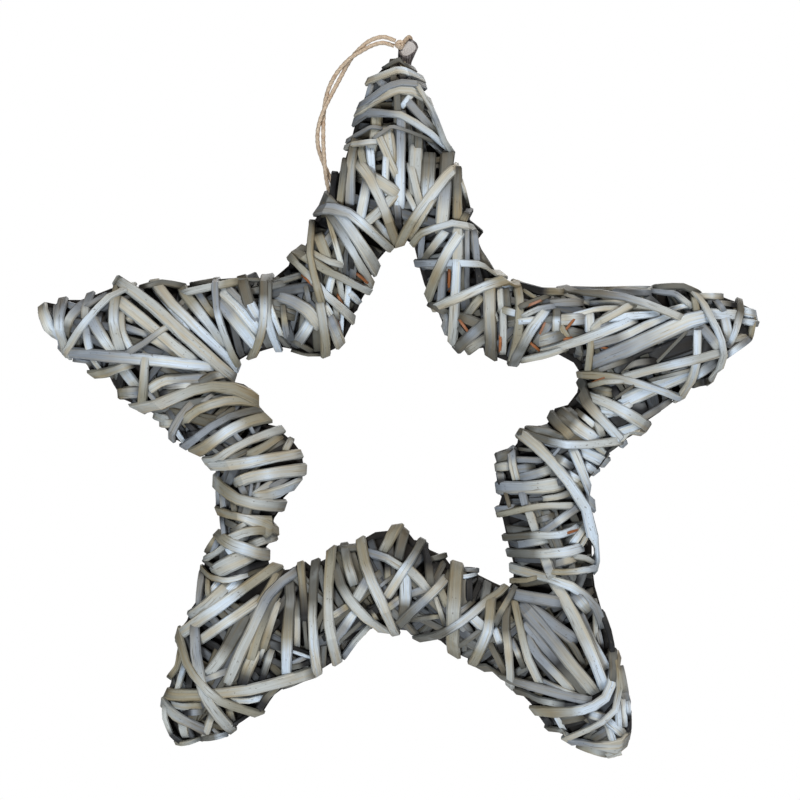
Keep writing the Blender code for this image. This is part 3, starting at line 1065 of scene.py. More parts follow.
class Graph:
    """The node tree of one material, or of the surround."""

    def __init__(self, owner: Material | bpy.types.World) -> None:
        """Turns the owner's own nodes on.

        Args:
            owner: the material or world.
        """
        owner.use_nodes = True
        self.owner = owner
        self.tree = owner.node_tree

    def node(
        self, kind: str, settings: dict | None = None, feeds: dict | None = None, out: int | str = 0
    ) -> Wire:
        """Adds any node.

        Args:
            kind: the node's type.
            settings: its properties, which are set first.
            feeds: what its sockets get, by name or number.
            out: the output wanted.

        Returns:
            That output.
        """
        made = self.tree.nodes.new(kind)
        for name, value in (settings or {}).items():
            setattr(made, name, value)
        for name, value in (feeds or {}).items():
            self.feed(made.inputs[name], value)
        return Wire(self, made.outputs[out])

    def feed(self, socket: bpy.types.NodeSocket, value: Value) -> None:
        """Links a wire to a socket, or sets the socket's own value.

        Args:
            socket: the socket.
            value: the wire, number, vector or colour.
        """
        if isinstance(value, Wire):
            self.tree.links.new(value.socket, socket)
        else:
            socket.default_value = value

    def attribute(self, name: str, out: int | str) -> Wire:
        """A value that the mesh carries."""
        return self.node("ShaderNodeAttribute", {"attribute_name": name}, out=out)

    def uv(self, name: str) -> tuple[Wire, ...]:
        """How far along and how far across the piece's own map."""
        place = self.node("ShaderNodeUVMap", {"uv_map": name})
        return tuple(self.node("ShaderNodeSeparateXYZ", feeds={0: place}, out=axis) for axis in (0, 1))

    def place(self) -> Wire:
        """Where a point is on the piece."""
        return self.node("ShaderNodeTexCoord", out="Object")

    def noise(self, place: Wire, scale: float, detail: float, roughness: float = 0.5) -> Wire:
        """A noise at that place."""
        feeds = {"Vector": place, "Scale": scale, "Detail": detail, "Roughness": roughness}
        return self.node("ShaderNodeTexNoise", feeds=feeds)

    def vector(self, x: Value, y: Value, z: Value) -> Wire:
        """Three values as one."""
        return self.node("ShaderNodeCombineXYZ", feeds={0: x, 1: y, 2: z})

    def scaled(self, colour: Value, factor: Value) -> Wire:
        """A colour made lighter or darker."""
        return self.node("ShaderNodeVectorMath", {"operation": "SCALE"}, {0: colour, "Scale": factor})

    def mixed(self, first: Value, second: Value, share: Value) -> Wire:
        """A colour between two, by a share from 0 to 1."""
        feeds = {0: share, 6: first, 7: second}
        return self.node("ShaderNodeMix", {"data_type": "RGBA"}, feeds, out=2)

    def tinted(self, colour: Value, tint: Value) -> Wire:
        """A colour times a tint."""
        return self.node("ShaderNodeVectorMath", {"operation": "MULTIPLY"}, {0: colour, 1: tint})

    def bump(self, height: Wire, strength: float, distance: float) -> Wire:
        """A normal that follows a height."""
        feeds = {"Height": height, "Strength": strength, "Distance": distance}
        return self.node("ShaderNodeBump", feeds=feeds)

    def feed_shader(self, **values: Value) -> Material:
        """Feeds the shader's sockets.

        Args:
            values: what each gets, by its name in small letters, with underscores for spaces.

        Returns:
            The material.
        """
        shader = self.tree.nodes["Principled BSDF"]
        for name, value in values.items():
            self.feed(shader.inputs[name.replace("_", " ").title()], value)
        return self.owner


@dataclass(frozen=True)
class Finish:
    """A finish: the name of its material, and how rough and how glossy it is."""

    name: str
    roughness: float
    specular: float

    def graph(self) -> Graph:
        """Starts the material.

        Returns:
            Its graph, with nothing that varies yet.
        """
        graph = Graph(bpy.data.materials.new(self.name))
        shader = graph.tree.nodes["Principled BSDF"]
        graph.feed(shader.inputs["Roughness"], self.roughness)
        graph.feed(shader.inputs["Specular IOR Level"], self.specular)
        return graph


@dataclass(frozen=True)
class WillowFinish(Finish):
    """Washed split willow: each strip's own tone, which carries painted light and shade, with grain, specks
    and weathering along it, painted shade down its sides, and painted highlight with wear on the arrises of
    its flat.
    """

    name: str = "washed_willow"
    roughness: float = 0.58
    specular: float = 0.35

    def material(self) -> Material:
        """Draws the grain along each strip's own map, which its seed shifts.

        Returns:
            The material.
        """
        g = self.graph()
        tone = g.attribute("tone", "Color")
        seed = g.attribute("seed", "Fac")
        along, across = g.uv("strip")
        fibre = g.noise(g.vector(along * 26 + seed * 31, across * 1500, seed * 17), 1.0, 4.0, 0.62)
        streak = g.noise(g.vector(along * 14 + seed * 11, across * 420, seed * 7), 1.0, 2.0)
        patch = g.noise(g.vector(along * 34 + seed * 5, across * 60, seed * 23), 1.0, 2.0)
        speck = g.noise(g.vector(along * 520 + seed * 3, across * 900, seed * 13), 1.0, 0.0)
        crack = g.noise(g.vector(along * 55 + seed * 19, across * 1250, seed * 29), 1.0, 1.0)
        side = g.attribute("side", "Fac")
        # Painted shade down the strip's sides towards the bed, and a painted highlight with wear along the
        # arris of its flat.
        edge = side * side
        arris_wear_and_highlight = edge.eased(0.38, 0.50) * (1 - edge.eased(0.53, 0.68))
        grain_and_painted_light = (0.48 + 0.68 * fibre + 0.38 * streak) * (1.04 - 0.50 * edge * edge + 0.24 * arris_wear_and_highlight)
        tint = g.mixed((1.05, 1.0, 0.90, 1), (0.94, 1.0, 1.08, 1), streak.eased(0.34, 0.58))
        colour = g.scaled(g.tinted(tone, tint), grain_and_painted_light)
        washed = g.mixed(colour, (0.66, 0.71, 0.76, 1), patch.eased(0.56, 0.74) * 0.25)
        worn = g.mixed(washed, g.tinted(washed, (0.84, 0.72, 0.56)), (1 - patch).eased(0.50, 0.70) * 0.55)
        split = g.mixed(worn, g.tinted(worn, (0.52, 0.48, 0.44)), crack.eased(0.65, 0.74))
        spotted = g.mixed(split, (0.10, 0.085, 0.07, 1), (speck > 0.765) * streak.eased(0.45, 0.60) * 0.6)
        height = fibre * 0.6 + streak * 0.8
        rough = 0.46 + 0.24 * patch
        return g.feed_shader(base_color=spotted, roughness=rough, normal=g.bump(height, 0.55, 0.0006))


@dataclass(frozen=True)
class PaintedShadeFinish(Finish):
    """Painted shade: the near-black of the shade deep inside the winding and round its edge rods."""

    name: str = "inner_shade"
    roughness: float = 0.9
    specular: float = 0.1

    def material(self) -> Material:
        """Draws a faint grain.

        Returns:
            The material.
        """
        g = self.graph()
        grain = g.noise(g.place(), 180.0, 3.0)
        colour = g.mixed((0.012, 0.012, 0.013, 1), (0.035, 0.031, 0.028, 1), grain)
        return g.feed_shader(base_color=colour, normal=g.bump(grain, 0.5, 0.001))


@dataclass(frozen=True)
class JuteFinish(Finish):
    """Twisted jute twine, with stray paler and darker fibres."""

    name: str = "jute_twine"
    roughness: float = 0.85
    specular: float = 0.2

    def material(self) -> Material:
        """Draws fibres that wind round the twine, and darker patches.

        Returns:
            The material.
        """
        g = self.graph()
        along, turn = g.uv("twine")
        fibre = g.noise(g.vector(along * 300, turn * 26 + along * 900, 0), 1.0, 3.0, 0.7)
        patch = g.noise(g.place(), 160.0, 2.0)
        base = g.mixed((0.34, 0.22, 0.14, 1), (0.80, 0.66, 0.51, 1), fibre.eased(0.28, 0.66))
        colour = g.mixed(base, (0.36, 0.19, 0.10, 1), patch.eased(0.54, 0.76) * 0.45)
        return g.feed_shader(base_color=colour, normal=g.bump(fibre, 0.8, 0.0005))


@dataclass(frozen=True)
class BarkFinish(Finish):
    """Dark weathered bark with pale scuffs down the rod."""

    name: str = "rod_bark"
    roughness: float = 0.6
    specular: float = 0.35

    def material(self) -> Material:
        """Draws streaks down the rod, and scuffs over them.

        Returns:
            The material.
        """
        g = self.graph()
        place = g.place()
        drawn = g.node("ShaderNodeMapping", feeds={"Vector": place, "Scale": (900, 900, 90)})
        streak = g.noise(drawn, 1.0, 3.0, 0.6)
        scuff = g.noise(place, 260.0, 2.0)
        base = g.mixed((0.050, 0.044, 0.046, 1), (0.25, 0.225, 0.23, 1), streak.eased(0.40, 0.64))
        colour = g.mixed(base, (0.46, 0.45, 0.46, 1), scuff.eased(0.58, 0.72) * 0.6)
        return g.feed_shader(base_color=colour, normal=g.bump(streak, 0.6, 0.0004))


@dataclass(frozen=True)
class CutFinish(Finish):
    """The pale slanted cut of a rod, with faint rings and cracks."""

    name: str = "cut_wood"
    roughness: float = 0.7
    specular: float = 0.25

    def material(self) -> Material:
        """Draws rings round the rod's middle, and grain over them.

        Returns:
            The material.
        """
        g = self.graph()
        place = g.place()
        settings = {"wave_type": "RINGS", "rings_direction": "Z"}
        feeds = {"Vector": place, "Scale": 230.0, "Distortion": 4.0}
        rings = g.node("ShaderNodeTexWave", settings, feeds, out="Fac")
        grain = g.noise(place, 900.0, 3.0)
        base = g.mixed((0.46, 0.45, 0.46, 1), (0.66, 0.64, 0.64, 1), rings * 0.5 + grain * 0.5)
        colour = g.mixed(base, (0.24, 0.22, 0.21, 1), grain.eased(0.62, 0.75) * 0.6)
        return g.feed_shader(base_color=colour, normal=g.bump(rings + grain, 0.3, 0.0003))


def hang(piece: Piece, slot: str, *nodes: str) -> Piece:
    """Hangs a finished piece on the star.

    Args:
        piece: the piece.
        slot: the record's slot for its finish; not used.
        nodes: the CAD nodes that it replaces.

    Returns:
        The piece.
    """
    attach(piece, BODY)
    if nodes:
        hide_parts(*nodes)
    LOG.info("%s: %d faces", piece.name, len(piece.data.polygons))
    return piece


def joined(name: str, parts: list[Piece], finish: Material, angle: float) -> Piece:
    """Joins parts into one piece with one finish.

    Args:
        name: the piece's name.
        parts: its parts.
        finish: its material.
        angle: faces that meet at less than this angle in degrees are shaded as one surface.

    Returns:
        The piece.
    """
    select_only(*parts)
    if len(parts) > 1:
        bpy.ops.object.join()
    piece = bpy.context.view_layer.objects.active
    piece.name = piece.data.name = name
    piece.data.materials.clear()
    piece.data.materials.append(finish)
    bpy.ops.object.shade_smooth_by_angle(angle=math.radians(angle))
    return piece


@dataclass
class StarWinding:
    """The willow of the star: a near-black inside of painted shade, its edge rods, an inner winding painted
    darker as shade, and the strips on it.
    """

    # The blanks: how many quads long, and how wide the flat of the outside is as a share of the width.
    hoop_segments: int = 18
    slat_segments: int = 8
    flat_share: float = 0.72
    # How light the strips are, from the darkest on.
    darkest: float = 0.92
    lightness_spread: float = 0.16
    # How far the dark inside is smoothed, and how near its points are merged.
    core_smoothing: int = 5
    core_merge: float = 1e-5
    # The inner winding: how thin it is beside the outer strips, and how dark its colour is painted, as
    # painted shade under them.
    inner_thickness: float = 0.8
    inner_painted_shade: float = 0.33
    # Its guides: what the arm's leaves free at the tip, and how far towards the tip the limbs' go.
    tip_free: float = 0.06
    limb_share: float = 0.42
    # Its turns: how far apart, how much they lean, how wide in millimetres, and how long at most.
    turn_pitch: float = 0.0045
    turn_lean: float = 0.30
    turn_widths: tuple[float, float] = (4.0, 7.0)
    longest_turn: float = 0.115
    # Its slats: how many a guide has, how far beside it, between which shares of it, and how wide.
    slat_count: int = 9
    slat_offset: float = 0.016
    slat_span: tuple[float, float] = (0.05, 0.9)
    slat_widths: tuple[float, float] = (4.5, 8.0)
    # A slat that would be too short runs on from its start, up to a last share of the guide.
    least_slat: float = 0.3
    short_slat: float = 0.4
    last_slat: float = 0.95

    def __post_init__(self) -> None:
        """Makes the finishes, the bed and the blanks."""
        self.willow = WillowFinish().material()
        self.shade = PaintedShadeFinish().material()
        self.bed = Bed(frame["nodes"]["star_winding"])
        self.layer = Layer(self.bed)
        self.draw = np.random.default_rng(SEED)
        self.blanks = {
            Lie.HOOP: Blank("hoop_blank", self.hoop_segments, self.flat_share),
            Lie.SLAT: Blank("slat_blank", self.slat_segments, self.flat_share),
        }

    def core(self) -> None:
        """The dark inside, on which the winding lies: a near-black sheet of painted shade, so that gaps
        between strips look into shade.
        """
        inside = self.bed.frame_depth > WINDING.core_inset
        whole = inside[:-1, :-1] & inside[1:, :-1] & inside[:-1, 1:] & inside[1:, 1:]
        around = np.pad(whole, 1)
        inner = around[:-1, :-1] & around[1:, :-1] & around[:-1, 1:] & around[1:, 1:]
        height = np.where(inner, np.maximum(self.bed.frame_height - WINDING.core_depth, MM), 0.0)
        number = np.arange(inside.size).reshape(inside.shape)
        flat = self.bed.frame_cells.reshape(-1, 2)
        front = np.stack([flat[:, 0], -height.ravel(), flat[:, 1]], axis=1)
        back = front * (1, -1, 1)
        quads = np.stack([number[:-1, :-1], number[1:, :-1], number[1:, 1:], number[:-1, 1:]], axis=-1)[whole]
        faces = [*quads.tolist(), *(quads[:, ::-1] + inside.size).tolist()]
        mesh = bpy.data.meshes.new("star_inside_painted_shade")
        mesh.from_pydata(np.concatenate([front, back]).tolist(), [], faces)
        piece = placed("star_inside_painted_shade", mesh)
        select_only(piece)
        bpy.ops.object.mode_set(mode="EDIT")
        bpy.ops.mesh.select_all(action="SELECT")
        bpy.ops.mesh.remove_doubles(threshold=self.core_merge)
        bpy.ops.mesh.delete_loose()
        bpy.ops.mesh.select_all(action="SELECT")
        bpy.ops.mesh.vertices_smooth(factor=0.5, repeat=self.core_smoothing)
        bpy.ops.object.mode_set(mode="OBJECT")
        hang(joined("star_inside_painted_shade", [piece], self.shade, ROUND_ANGLE), "shaded_willow", "star_winding")

    def edge_rods(self) -> None:
        """The rods that the winding goes round, one along each edge of the star, in the near-black painted
        shade that fills the gaps at its edges.
        """
        rods = []
        for edge, inward in zip(self.bed.edges, (1, -1)):
            ahead = edge.run / edge.length[:, None]
            mean = ahead + np.roll(ahead, 1, axis=0)
            mean /= np.linalg.norm(mean, axis=1)[:, None]
            across = np.stack([mean[:, 1], -mean[:, 0]], axis=1)
            middle = edge.start + across * WINDING.rod_inset * inward
            places = np.insert(np.insert(middle, 1, 0, axis=1), 3, 1, axis=1)
            curve = bpy.data.curves.new("edge_rod", "CURVE")
            curve.dimensions = "3D"
            curve.bevel_depth = WINDING.rod_radius
            curve.bevel_resolution = 2
            line = curve.splines.new("POLY")
            line.use_cyclic_u = True
            line.points.add(len(places) - 1)
            line.points.foreach_set("co", places.ravel())
            rods.append(placed("edge_rod", curve))
        select_only(*rods)
        bpy.ops.object.convert(target="MESH")
        hang(joined("edge_rods", rods, self.shade, ROUND_ANGLE), "shaded_willow")

    def strips(self, name: str, table: Sequence[Strip], nodes: Sequence[str], inner: bool = False) -> None:
        """Lays the strips of a table and joins them into one piece.

        Args:
            name: the piece's name.
            table: its strips, the lowest first.
            nodes: the CAD strips that it stands for.
            inner: whether they belong to the plainer inner winding, whose colour is darkened as painted
                shade.
        """
        parts = []
        thickness = WINDING.thickness * (self.inner_thickness if inner else 1.0)
        for strip in table:
            for ribbon in self.layer.lay(strip, thickness):
                seed = float(self.draw.random())
                # The inner winding's colour is darkened as painted shade under the outer strips.
                level = (self.darkest + self.lightness_spread * seed) * (self.inner_painted_shade if inner else 1.0)
                parts.append(self.blanks[strip.lie].bent(strip, ribbon, thickness, level, seed))
        hang(joined(name, parts, self.willow, STRIP_ANGLE), "pale_willow", *nodes)

    def guides(self, arm: int) -> list[tuple[np.ndarray, np.ndarray]]:
        """Finds the lines in plan that an arm's inner winding follows.

        Args:
            arm: the arm's number, clockwise from the top.

        Returns:
            Both ends of the line along the arm, and of those along the limbs beside it.
        """
        notch, tip = (plan_points([corners[arm]])[0] for corners in (NOTCHES, TIPS))
        found = [(notch, tip - (tip - notch) * self.tip_free)]
        for beside in (arm, (arm - 1) % len(ARM_NAMES)):
            valley, bulge = (plan_points([corners[beside]])[0] for corners in (VALLEYS, BULGES))
            middle = (valley + bulge) / 2
            found.append((middle, middle + (tip - middle) * self.limb_share))
        return found

    def inner_turn(self, place: np.ndarray, run: np.ndarray) -> Strip | None:
        """Draws a narrow turn across a guide.

        Args:
            place: where it crosses the guide.
            run: the guide's run.

        Returns:
            The turn, or None where it would be too long.
        """
        lean = math.atan2(run[1], run[0]) + math.pi / 2 + self.draw.normal(0, self.turn_lean)
        chord = self.bed.chord(place, np.array((math.cos(lean), math.sin(lean))))
        tone = INNER_TONES[int(self.draw.integers(len(INNER_TONES)))]
        width = float(self.draw.uniform(*self.turn_widths))
        if chord is None or np.linalg.norm(chord[1] - chord[0]) >= self.longest_turn:
            return None
        return hoop(width, tone, *plan_places(chord))

    def inner_slat(self, start: np.ndarray, run: np.ndarray) -> Strip:
        """Draws a slat beside a guide.

        Args:
            start: the guide's start.
            run: its run.

        Returns:
            The slat.
        """
        offset = self.draw.uniform(-self.slat_offset, self.slat_offset)
        side = np.array((run[1], -run[0])) / np.linalg.norm(run) * offset
        first, last = sorted(self.draw.uniform(*self.slat_span, 2))
        if last - first < self.least_slat:
            last = min(self.last_slat, first + self.short_slat)
        tone = INNER_TONES[int(self.draw.integers(len(INNER_TONES)))]
        width = float(self.draw.uniform(*self.slat_widths))
        ends = (start + run * first + side, start + run * last + side * (1 - last))
        return slat(width, tone, *plan_places(ends))

    def inner_winding(self) -> None:
        """The inner winding: many narrow turns round every arm and limb, and slats along them."""
        self.layer.inset = WINDING.inner_inset
        for arm, arm_name in enumerate(ARM_NAMES):
            table = []
            for start, end in self.guides(arm):
                run = end - start
                count = int(np.linalg.norm(run) / self.turn_pitch)
                for number in range(count):
                    place = start + run * (number + self.draw.random()) / count
                    table.append(self.inner_turn(place, run))
                table += [self.inner_slat(start, run) for _ in range(self.slat_count)]
            self.strips(f"{arm_name}_arm_inner_winding", [strip for strip in table if strip], (), inner=True)
        self.layer.inset = WINDING.rod_inset


def smooth_route(route: Sequence[Sequence[float]], step: float) -> list[Vector]:
    """Follows one smooth curve through the points of a route.

    Args:
        route: the points.
        step: how far apart the new points are, about.

    Returns:
        The new points.
    """
    points = [Vector(p) for p in route]
    before = points[0] * 2 - points[1]
    after = points[-1] * 2 - points[-2]
    ends = [before, *points, after]
    fine = []
    for a, b, c, d in zip(ends, ends[1:], ends[2:], ends[3:]):
        for number in range(ROUTE_FINENESS):
            t = number / ROUTE_FINENESS
            bend = (a - b * 3 + c * 3 - d) * -(t**3) + (a * 2 - b * 5 + c * 4 - d) * t**2 + (c - a) * t
            fine.append(b + bend / 2)
    fine.append(points[-1])
    lengths = [0.0]
    for a, b in zip(fine, fine[1:]):
        lengths.append(lengths[-1] + (b - a).length)
    count = max(2, round(lengths[-1] / step))
    found = []
    place = 0
    for number in range(count + 1):
        target = lengths[-1] * number / count
        while place < len(fine) - 2 and lengths[place + 1] < target:
            place += 1
        share = (target - lengths[place]) / (lengths[place + 1] - lengths[place])
        found.append(fine[place].lerp(fine[place + 1], share))
    return found


@dataclass
class JuteCord:
    """The doubled jute cord that the star hangs by, and its knot on the peg."""

    # The cord as the part's source has it: two runs a gap apart, twisted, and opened to a bight.
    diameter: float = 0.0033
    run_gap: float = 0.0008
    twist_length: float = 0.0840
    bight_radius: float = 0.0072
    bight_taper: float = 0.0300
    bight_steps: int = 6
    step: float = 0.0085
    bed_normal: Vector = Vector((-0.50, 0.80, 0.25)).normalized()
    # The twine's two plies.
    fineness: float = 0.0011
    sides: int = 14
    ply_pitch: float = 0.0085
    ply_depth: float = 0.14
    ply_round: float = 1.5
    # The knot, and each of its turns: how it leans, where it starts, and how large it is.
    knot_centre: Vector = Vector((-0.0058, -0.0014, 0.0004))
    knot_radius: float = 0.0021
    knot_wave: float = 0.35
    knot_points: int = 13
    knot_steps: float = 12.5
    knot_turns: tuple[tuple[float, float, float], ...] = ((0.5, 0.3, 1.0), (1.9, 1.2, 0.92), (2.7, 2.2, 0.8))

    def route(self) -> list[Vector]:
        """Takes the cord from the knot down one run, round the bight behind the arm and up the other.

        Returns:
            The points of its route.
        """
        middle = smooth_route(CORD_ROUTE, self.step)
        apart = (self.diameter + self.run_gap) / 2
        whole = len(middle) - 1
        run_down, run_up = [], []
        for number, point in enumerate(middle):
            ahead = (middle[min(number + 1, whole)] - middle[max(number - 1, 0)]).normalized()
            up = (self.bed_normal - ahead * self.bed_normal.dot(ahead)).normalized()
            side = ahead.cross(up)
            left = (whole - number) * self.step
            opened = max(0.0, 1 - left / self.bight_taper)
            spread = apart + (self.bight_radius - apart) * opened**2 * (3 - 2 * opened)
            turned = math.tau * max(0.0, left - self.bight_taper) / self.twist_length
            offset = (side * math.cos(turned) + up * math.sin(turned)) * spread
            run_down.append(point + offset)
            run_up.append(point - offset)
        bight = []
        for number in range(1, self.bight_steps):
            turned = math.pi * number / self.bight_steps
            outward = side * math.cos(turned) + ahead * math.sin(turned)
            bight.append(middle[-1] + outward * self.bight_radius)
        return [*run_down, *bight, *reversed(run_up)]

    def twine(self, name: str, route: Sequence[Sequence[float]]) -> tuple[Piece, list[Vector]]:
        """Makes two-ply twine along a route, closed at both ends.

        Args:
            name: the piece's name.
            route: the points that it passes through.

        Returns:
            The piece and the points of its middle line.
        """
        line = smooth_route(route, self.fineness)
        mesh = bmesh.new()
        layer = mesh.loops.layers.uv.new("twine")
        side = (line[1] - line[0]).orthogonal().normalized()
        rings = []
        for number, point in enumerate(line):
            ahead = (line[min(number + 1, len(line) - 1)] - line[max(number - 1, 0)]).normalized()
            side = (side - ahead * side.dot(ahead)).normalized()
            up = ahead.cross(side)
            twist = math.tau * number * self.fineness / self.ply_pitch
            ring = []
            for corner in range(self.sides):
                angle = math.tau * corner / self.sides
                lobe = 1 - self.ply_depth * abs(math.sin(angle)) ** self.ply_round
                across = side * math.cos(angle + twist) + up * math.sin(angle + twist)
                ring.append(mesh.verts.new(point + across * self.diameter / 2 * lobe))
            rings.append(ring)
        for number, (near, far) in enumerate(zip(rings, rings[1:])):
            for corner in range(self.sides):
                after = (corner + 1) % self.sides
                face = mesh.faces.new((near[corner], far[corner], far[after], near[after]))
                shares = (corner, corner, corner + 1, corner + 1)
                places = (number, number + 1, number + 1, number)
                for loop, share, place in zip(face.loops, shares, places):
                    loop[layer].uv = (place * self.fineness, share / self.sides)
        mesh.faces.new(rings[0])
        mesh.faces.new(list(reversed(rings[-1])))
        bmesh.ops.recalc_face_normals(mesh, faces=mesh.faces)
        data = bpy.data.meshes.new(name)
        mesh.to_mesh(data)
        mesh.free()
        return placed(name, data), line

    def build(self) -> None:
        jute = JuteFinish().material()
        cord, line = self.twine("hanging_cord", self.route())
        joined("hanging_cord", [cord], jute, ROUND_ANGLE)
        hang(cord, "jute", "cord")
        knot = self.knot(jute)
        length = sum((b - a).length for a, b in zip(line, line[1:]))
        LOG.info("cord length %.4f m", length)

    def knot(self, jute: Material) -> Piece:
        """Ties the knot: a lump of crossed turns, and the strand from it over the peg.

        Args:
            jute: the cord's finish.

        Returns:
            The piece.
        """
        strand, _ = self.twine("knot_strand", KNOT_ROUTE)
        parts = [strand]
        for lean, swing, size in self.knot_turns:
            turn = []
            for number in range(self.knot_points):
                angle = math.tau * number / self.knot_steps + swing
                wave = self.knot_wave * math.sin(2 * angle)
                flat = Vector((math.cos(angle), wave, math.sin(angle))) * self.knot_radius * size
                y = flat.y * math.cos(lean) - flat.z * math.sin(lean)
                z = flat.y * math.sin(lean) + flat.z * math.cos(lean)
                turn.append(self.knot_centre + Vector((flat.x, y, z)))
            part, _ = self.twine(f"knot_turn_{len(parts)}", turn)
            parts.append(part)
        return hang(joined("cord_knot_turns", parts, jute, ROUND_ANGLE), "jute", "cord_knot")


@dataclass
class Peg:
    """The rod that stands out of the top arm: bark all round, cut on the slant, flared at its head."""

    foot: Vector = Vector((-0.0050, 0, -0.0568))
    mouth: Vector = Vector((-0.0022, 0, -0.0120))
    head: Vector = Vector((0.0001, 0, -0.0010))
    radius: float = 0.0047
    head_radius: float = 0.0070
    # How thick the foot and the top are, as shares of the stem and of the head.
    foot_share: float = 0.85
    top_share: float = 1.03
    cut_rise: float = 0.0095
    cut_slant: float = 46.0
    cut_depth: float = 0.0004
    rim: float = 0.0016
    sides: int = 32
    # The stretches between its rings, and how many of them lie below the mouth and the head.
    stretches: int = 8
    stretches_to_mouth: int = 5
    stretches_to_head: int = 7
    # Its knobs: how high, how many round the rod, and how far they turn from foot to top in radians.
    knobs: tuple[tuple[float, float, float], ...] = ((0.035, 3, 9), (0.02, 7, 23))

    def bulged(self, x: float, y: float, share: float) -> tuple[float, float, float]:
        """Places a point of the straight rod on the bent and flared one.

        Args:
            x: how far right of the rod's middle line it is.
            y: how far behind that line.
            share: how far up the rod, from 0 to 1.

        Returns:
            Its place.
        """
        flare = self.head_radius / self.radius
        shares = (0.0, self.stretches_to_mouth / self.stretches, self.stretches_to_head / self.stretches, 1.0)
        centres = (self.foot, self.mouth, self.head, self.head + (self.head - self.mouth))
        spreads = (self.foot_share, 1.0, flare, flare * self.top_share)
        centre = [float(np.interp(share, shares, [place[axis] for place in centres])) for axis in range(3)]
        angle = math.atan2(y, x)
        knobs = (high * math.sin(count * angle + turn * share) for high, count, turn in self.knobs)
        knobby = sum(knobs, start=1)
        spread = float(np.interp(share, shares, spreads))
        return centre[0] + x * spread * knobby, centre[1] + y * spread * knobby, centre[2]

    def build(self) -> None:
        """Models the rod from a cylinder and cuts its head."""
        bpy.ops.mesh.primitive_cylinder_add(
            vertices=self.sides, radius=self.radius, depth=1, end_fill_type="NGON"
        )
        piece = bpy.context.object
        piece.name = piece.data.name = "bark_peg"
        select_only(piece)
        bpy.ops.object.mode_set(mode="EDIT")
        select_parts(piece, "edges", lambda e: abs(e.verts[0].co.z - e.verts[1].co.z) > 0.5)
        bpy.ops.mesh.subdivide(number_cuts=self.stretches - 1)
        bpy.ops.object.mode_set(mode="OBJECT")
        for vertex in piece.data.vertices:
            vertex.co = self.bulged(vertex.co.x, vertex.co.y, vertex.co.z + 0.5)
        bpy.ops.object.mode_set(mode="EDIT")
        bpy.ops.mesh.select_all(action="SELECT")
        slant = math.radians(self.cut_slant)
        bpy.ops.mesh.bisect(
            plane_co=self.mouth + Vector((0, 0, self.cut_rise)),
            plane_no=(0, -math.sin(slant), math.cos(slant)),
            use_fill=True, clear_outer=True,
        )
        # The cut looks up, and it has more corners than any face round it.
        most_corners = 8
        bpy.ops.mesh.select_mode(type="FACE")
        select_parts(piece, "faces", lambda f: f.normal.z > 0.5 and len(f.verts) > most_corners)
        bpy.ops.mesh.inset(thickness=self.rim)
        bpy.ops.transform.translate(value=(0, self.cut_depth, -self.cut_depth))
        bpy.ops.object.mode_set(mode="OBJECT")
        piece.data.materials.append(BarkFinish().material())
        piece.data.materials.append(CutFinish().material())
        for face in piece.data.polygons:
            face.material_index = int(face.normal.z > 0.5 and len(face.vertices) > most_corners)
        bpy.ops.object.shade_smooth_by_angle(angle=math.radians(STRIP_ANGLE))
        hang(piece, "weathered_rod", "peg")


@dataclass(frozen=True)
class Lamp:
    """A soft square light."""

    name: str
    place: Vector
    size: float
    power: float
    colour: tuple[float, float, float]


LAMPS = (
    Lamp("key_light", Vector((-0.9, -2.3, -1.35)), 0.9, 80, (0.90, 0.96, 1.0)),
    Lamp("fill_light", Vector((0.9, -1.5, 1.9)), 1.1, 46, (1.0, 0.94, 0.86)),
    Lamp("back_light", Vector((0.4, 2.4, 0.9)), 2.0, 40, (1.0, 1.0, 1.0)),
)


@dataclass
class Studio:
    """Camera, lights, pale floor and a surround that looks white but lights the star more softly."""

    # The camera stands straight in front, and its frame is this wide where the star's front is.
    camera_back: float = 2.55
    frame_width: float = 0.552
    frame_plane: float = 0.012
    frame_centre_x: float = -0.0055
    frame_centre_z: float = -0.2458
    sensor_width: float = 36.0
    # What the lights face, how strongly the surround lights, and where the floor is.
    lit_place: Vector = Vector((0, 0, -0.26))
    surround_light: float = 0.12
    floor_size: float = 3.4
    floor_drop: float = 1.15

    def camera(self) -> None:
        """The camera straight in front of the star."""
        data = bpy.data.cameras.new("camera")
        data.sensor_width = self.sensor_width
        data.lens = self.sensor_width * (self.camera_back - self.frame_plane) / self.frame_width
        eye = placed("camera", data)
        eye.location = (self.frame_centre_x, -self.camera_back, self.frame_centre_z)
        eye.rotation_euler = (math.pi / 2, 0, 0)
        bpy.context.scene.camera = eye

    def grain_and_painted_light(self, lamp: Lamp) -> None:
        """Sets up a light that faces the star.

        Args:
            lamp: the light.
        """
        data = bpy.data.lights.new(lamp.name, "AREA")
        data.size = lamp.size
        data.energy = lamp.power
        data.color = lamp.colour
        made = placed(lamp.name, data)
        made.location = lamp.place
        made.rotation_euler = (self.lit_place - lamp.place).to_track_quat("-Z", "Y").to_euler()

    def surround(self) -> None:
        """The surround: white where the camera looks at it, and softer where it lights the star."""
        world = bpy.data.worlds.new("white_surround")
        g = Graph(world)
        seen = g.node("ShaderNodeLightPath", out="Is Camera Ray")
        strength = g.node("ShaderNodeMapRange", feeds={"To Min": self.surround_light, "Value": seen})
        background = g.tree.nodes["Background"]
        g.feed(background.inputs["Strength"], strength)
        g.feed(background.inputs["Color"], (1, 1, 1, 1))
        bpy.context.scene.world = world

    def build(self) -> None:
        """Sets up everything but the camera."""
        for lamp in LAMPS:
            self.grain_and_painted_light(lamp)
        self.surround()
        bpy.ops.mesh.primitive_plane_add(size=self.floor_size, location=(0, 0, -self.floor_drop))
        floor = bpy.context.object
        floor.name = "pale_floor"
        pale = Finish("pale_floor", 0.8, 0.2).graph()
        floor.data.materials.append(pale.feed_shader(base_color=(0.9, 0.9, 0.9, 1)))
        bpy.context.scene.view_settings.view_transform = "Standard"


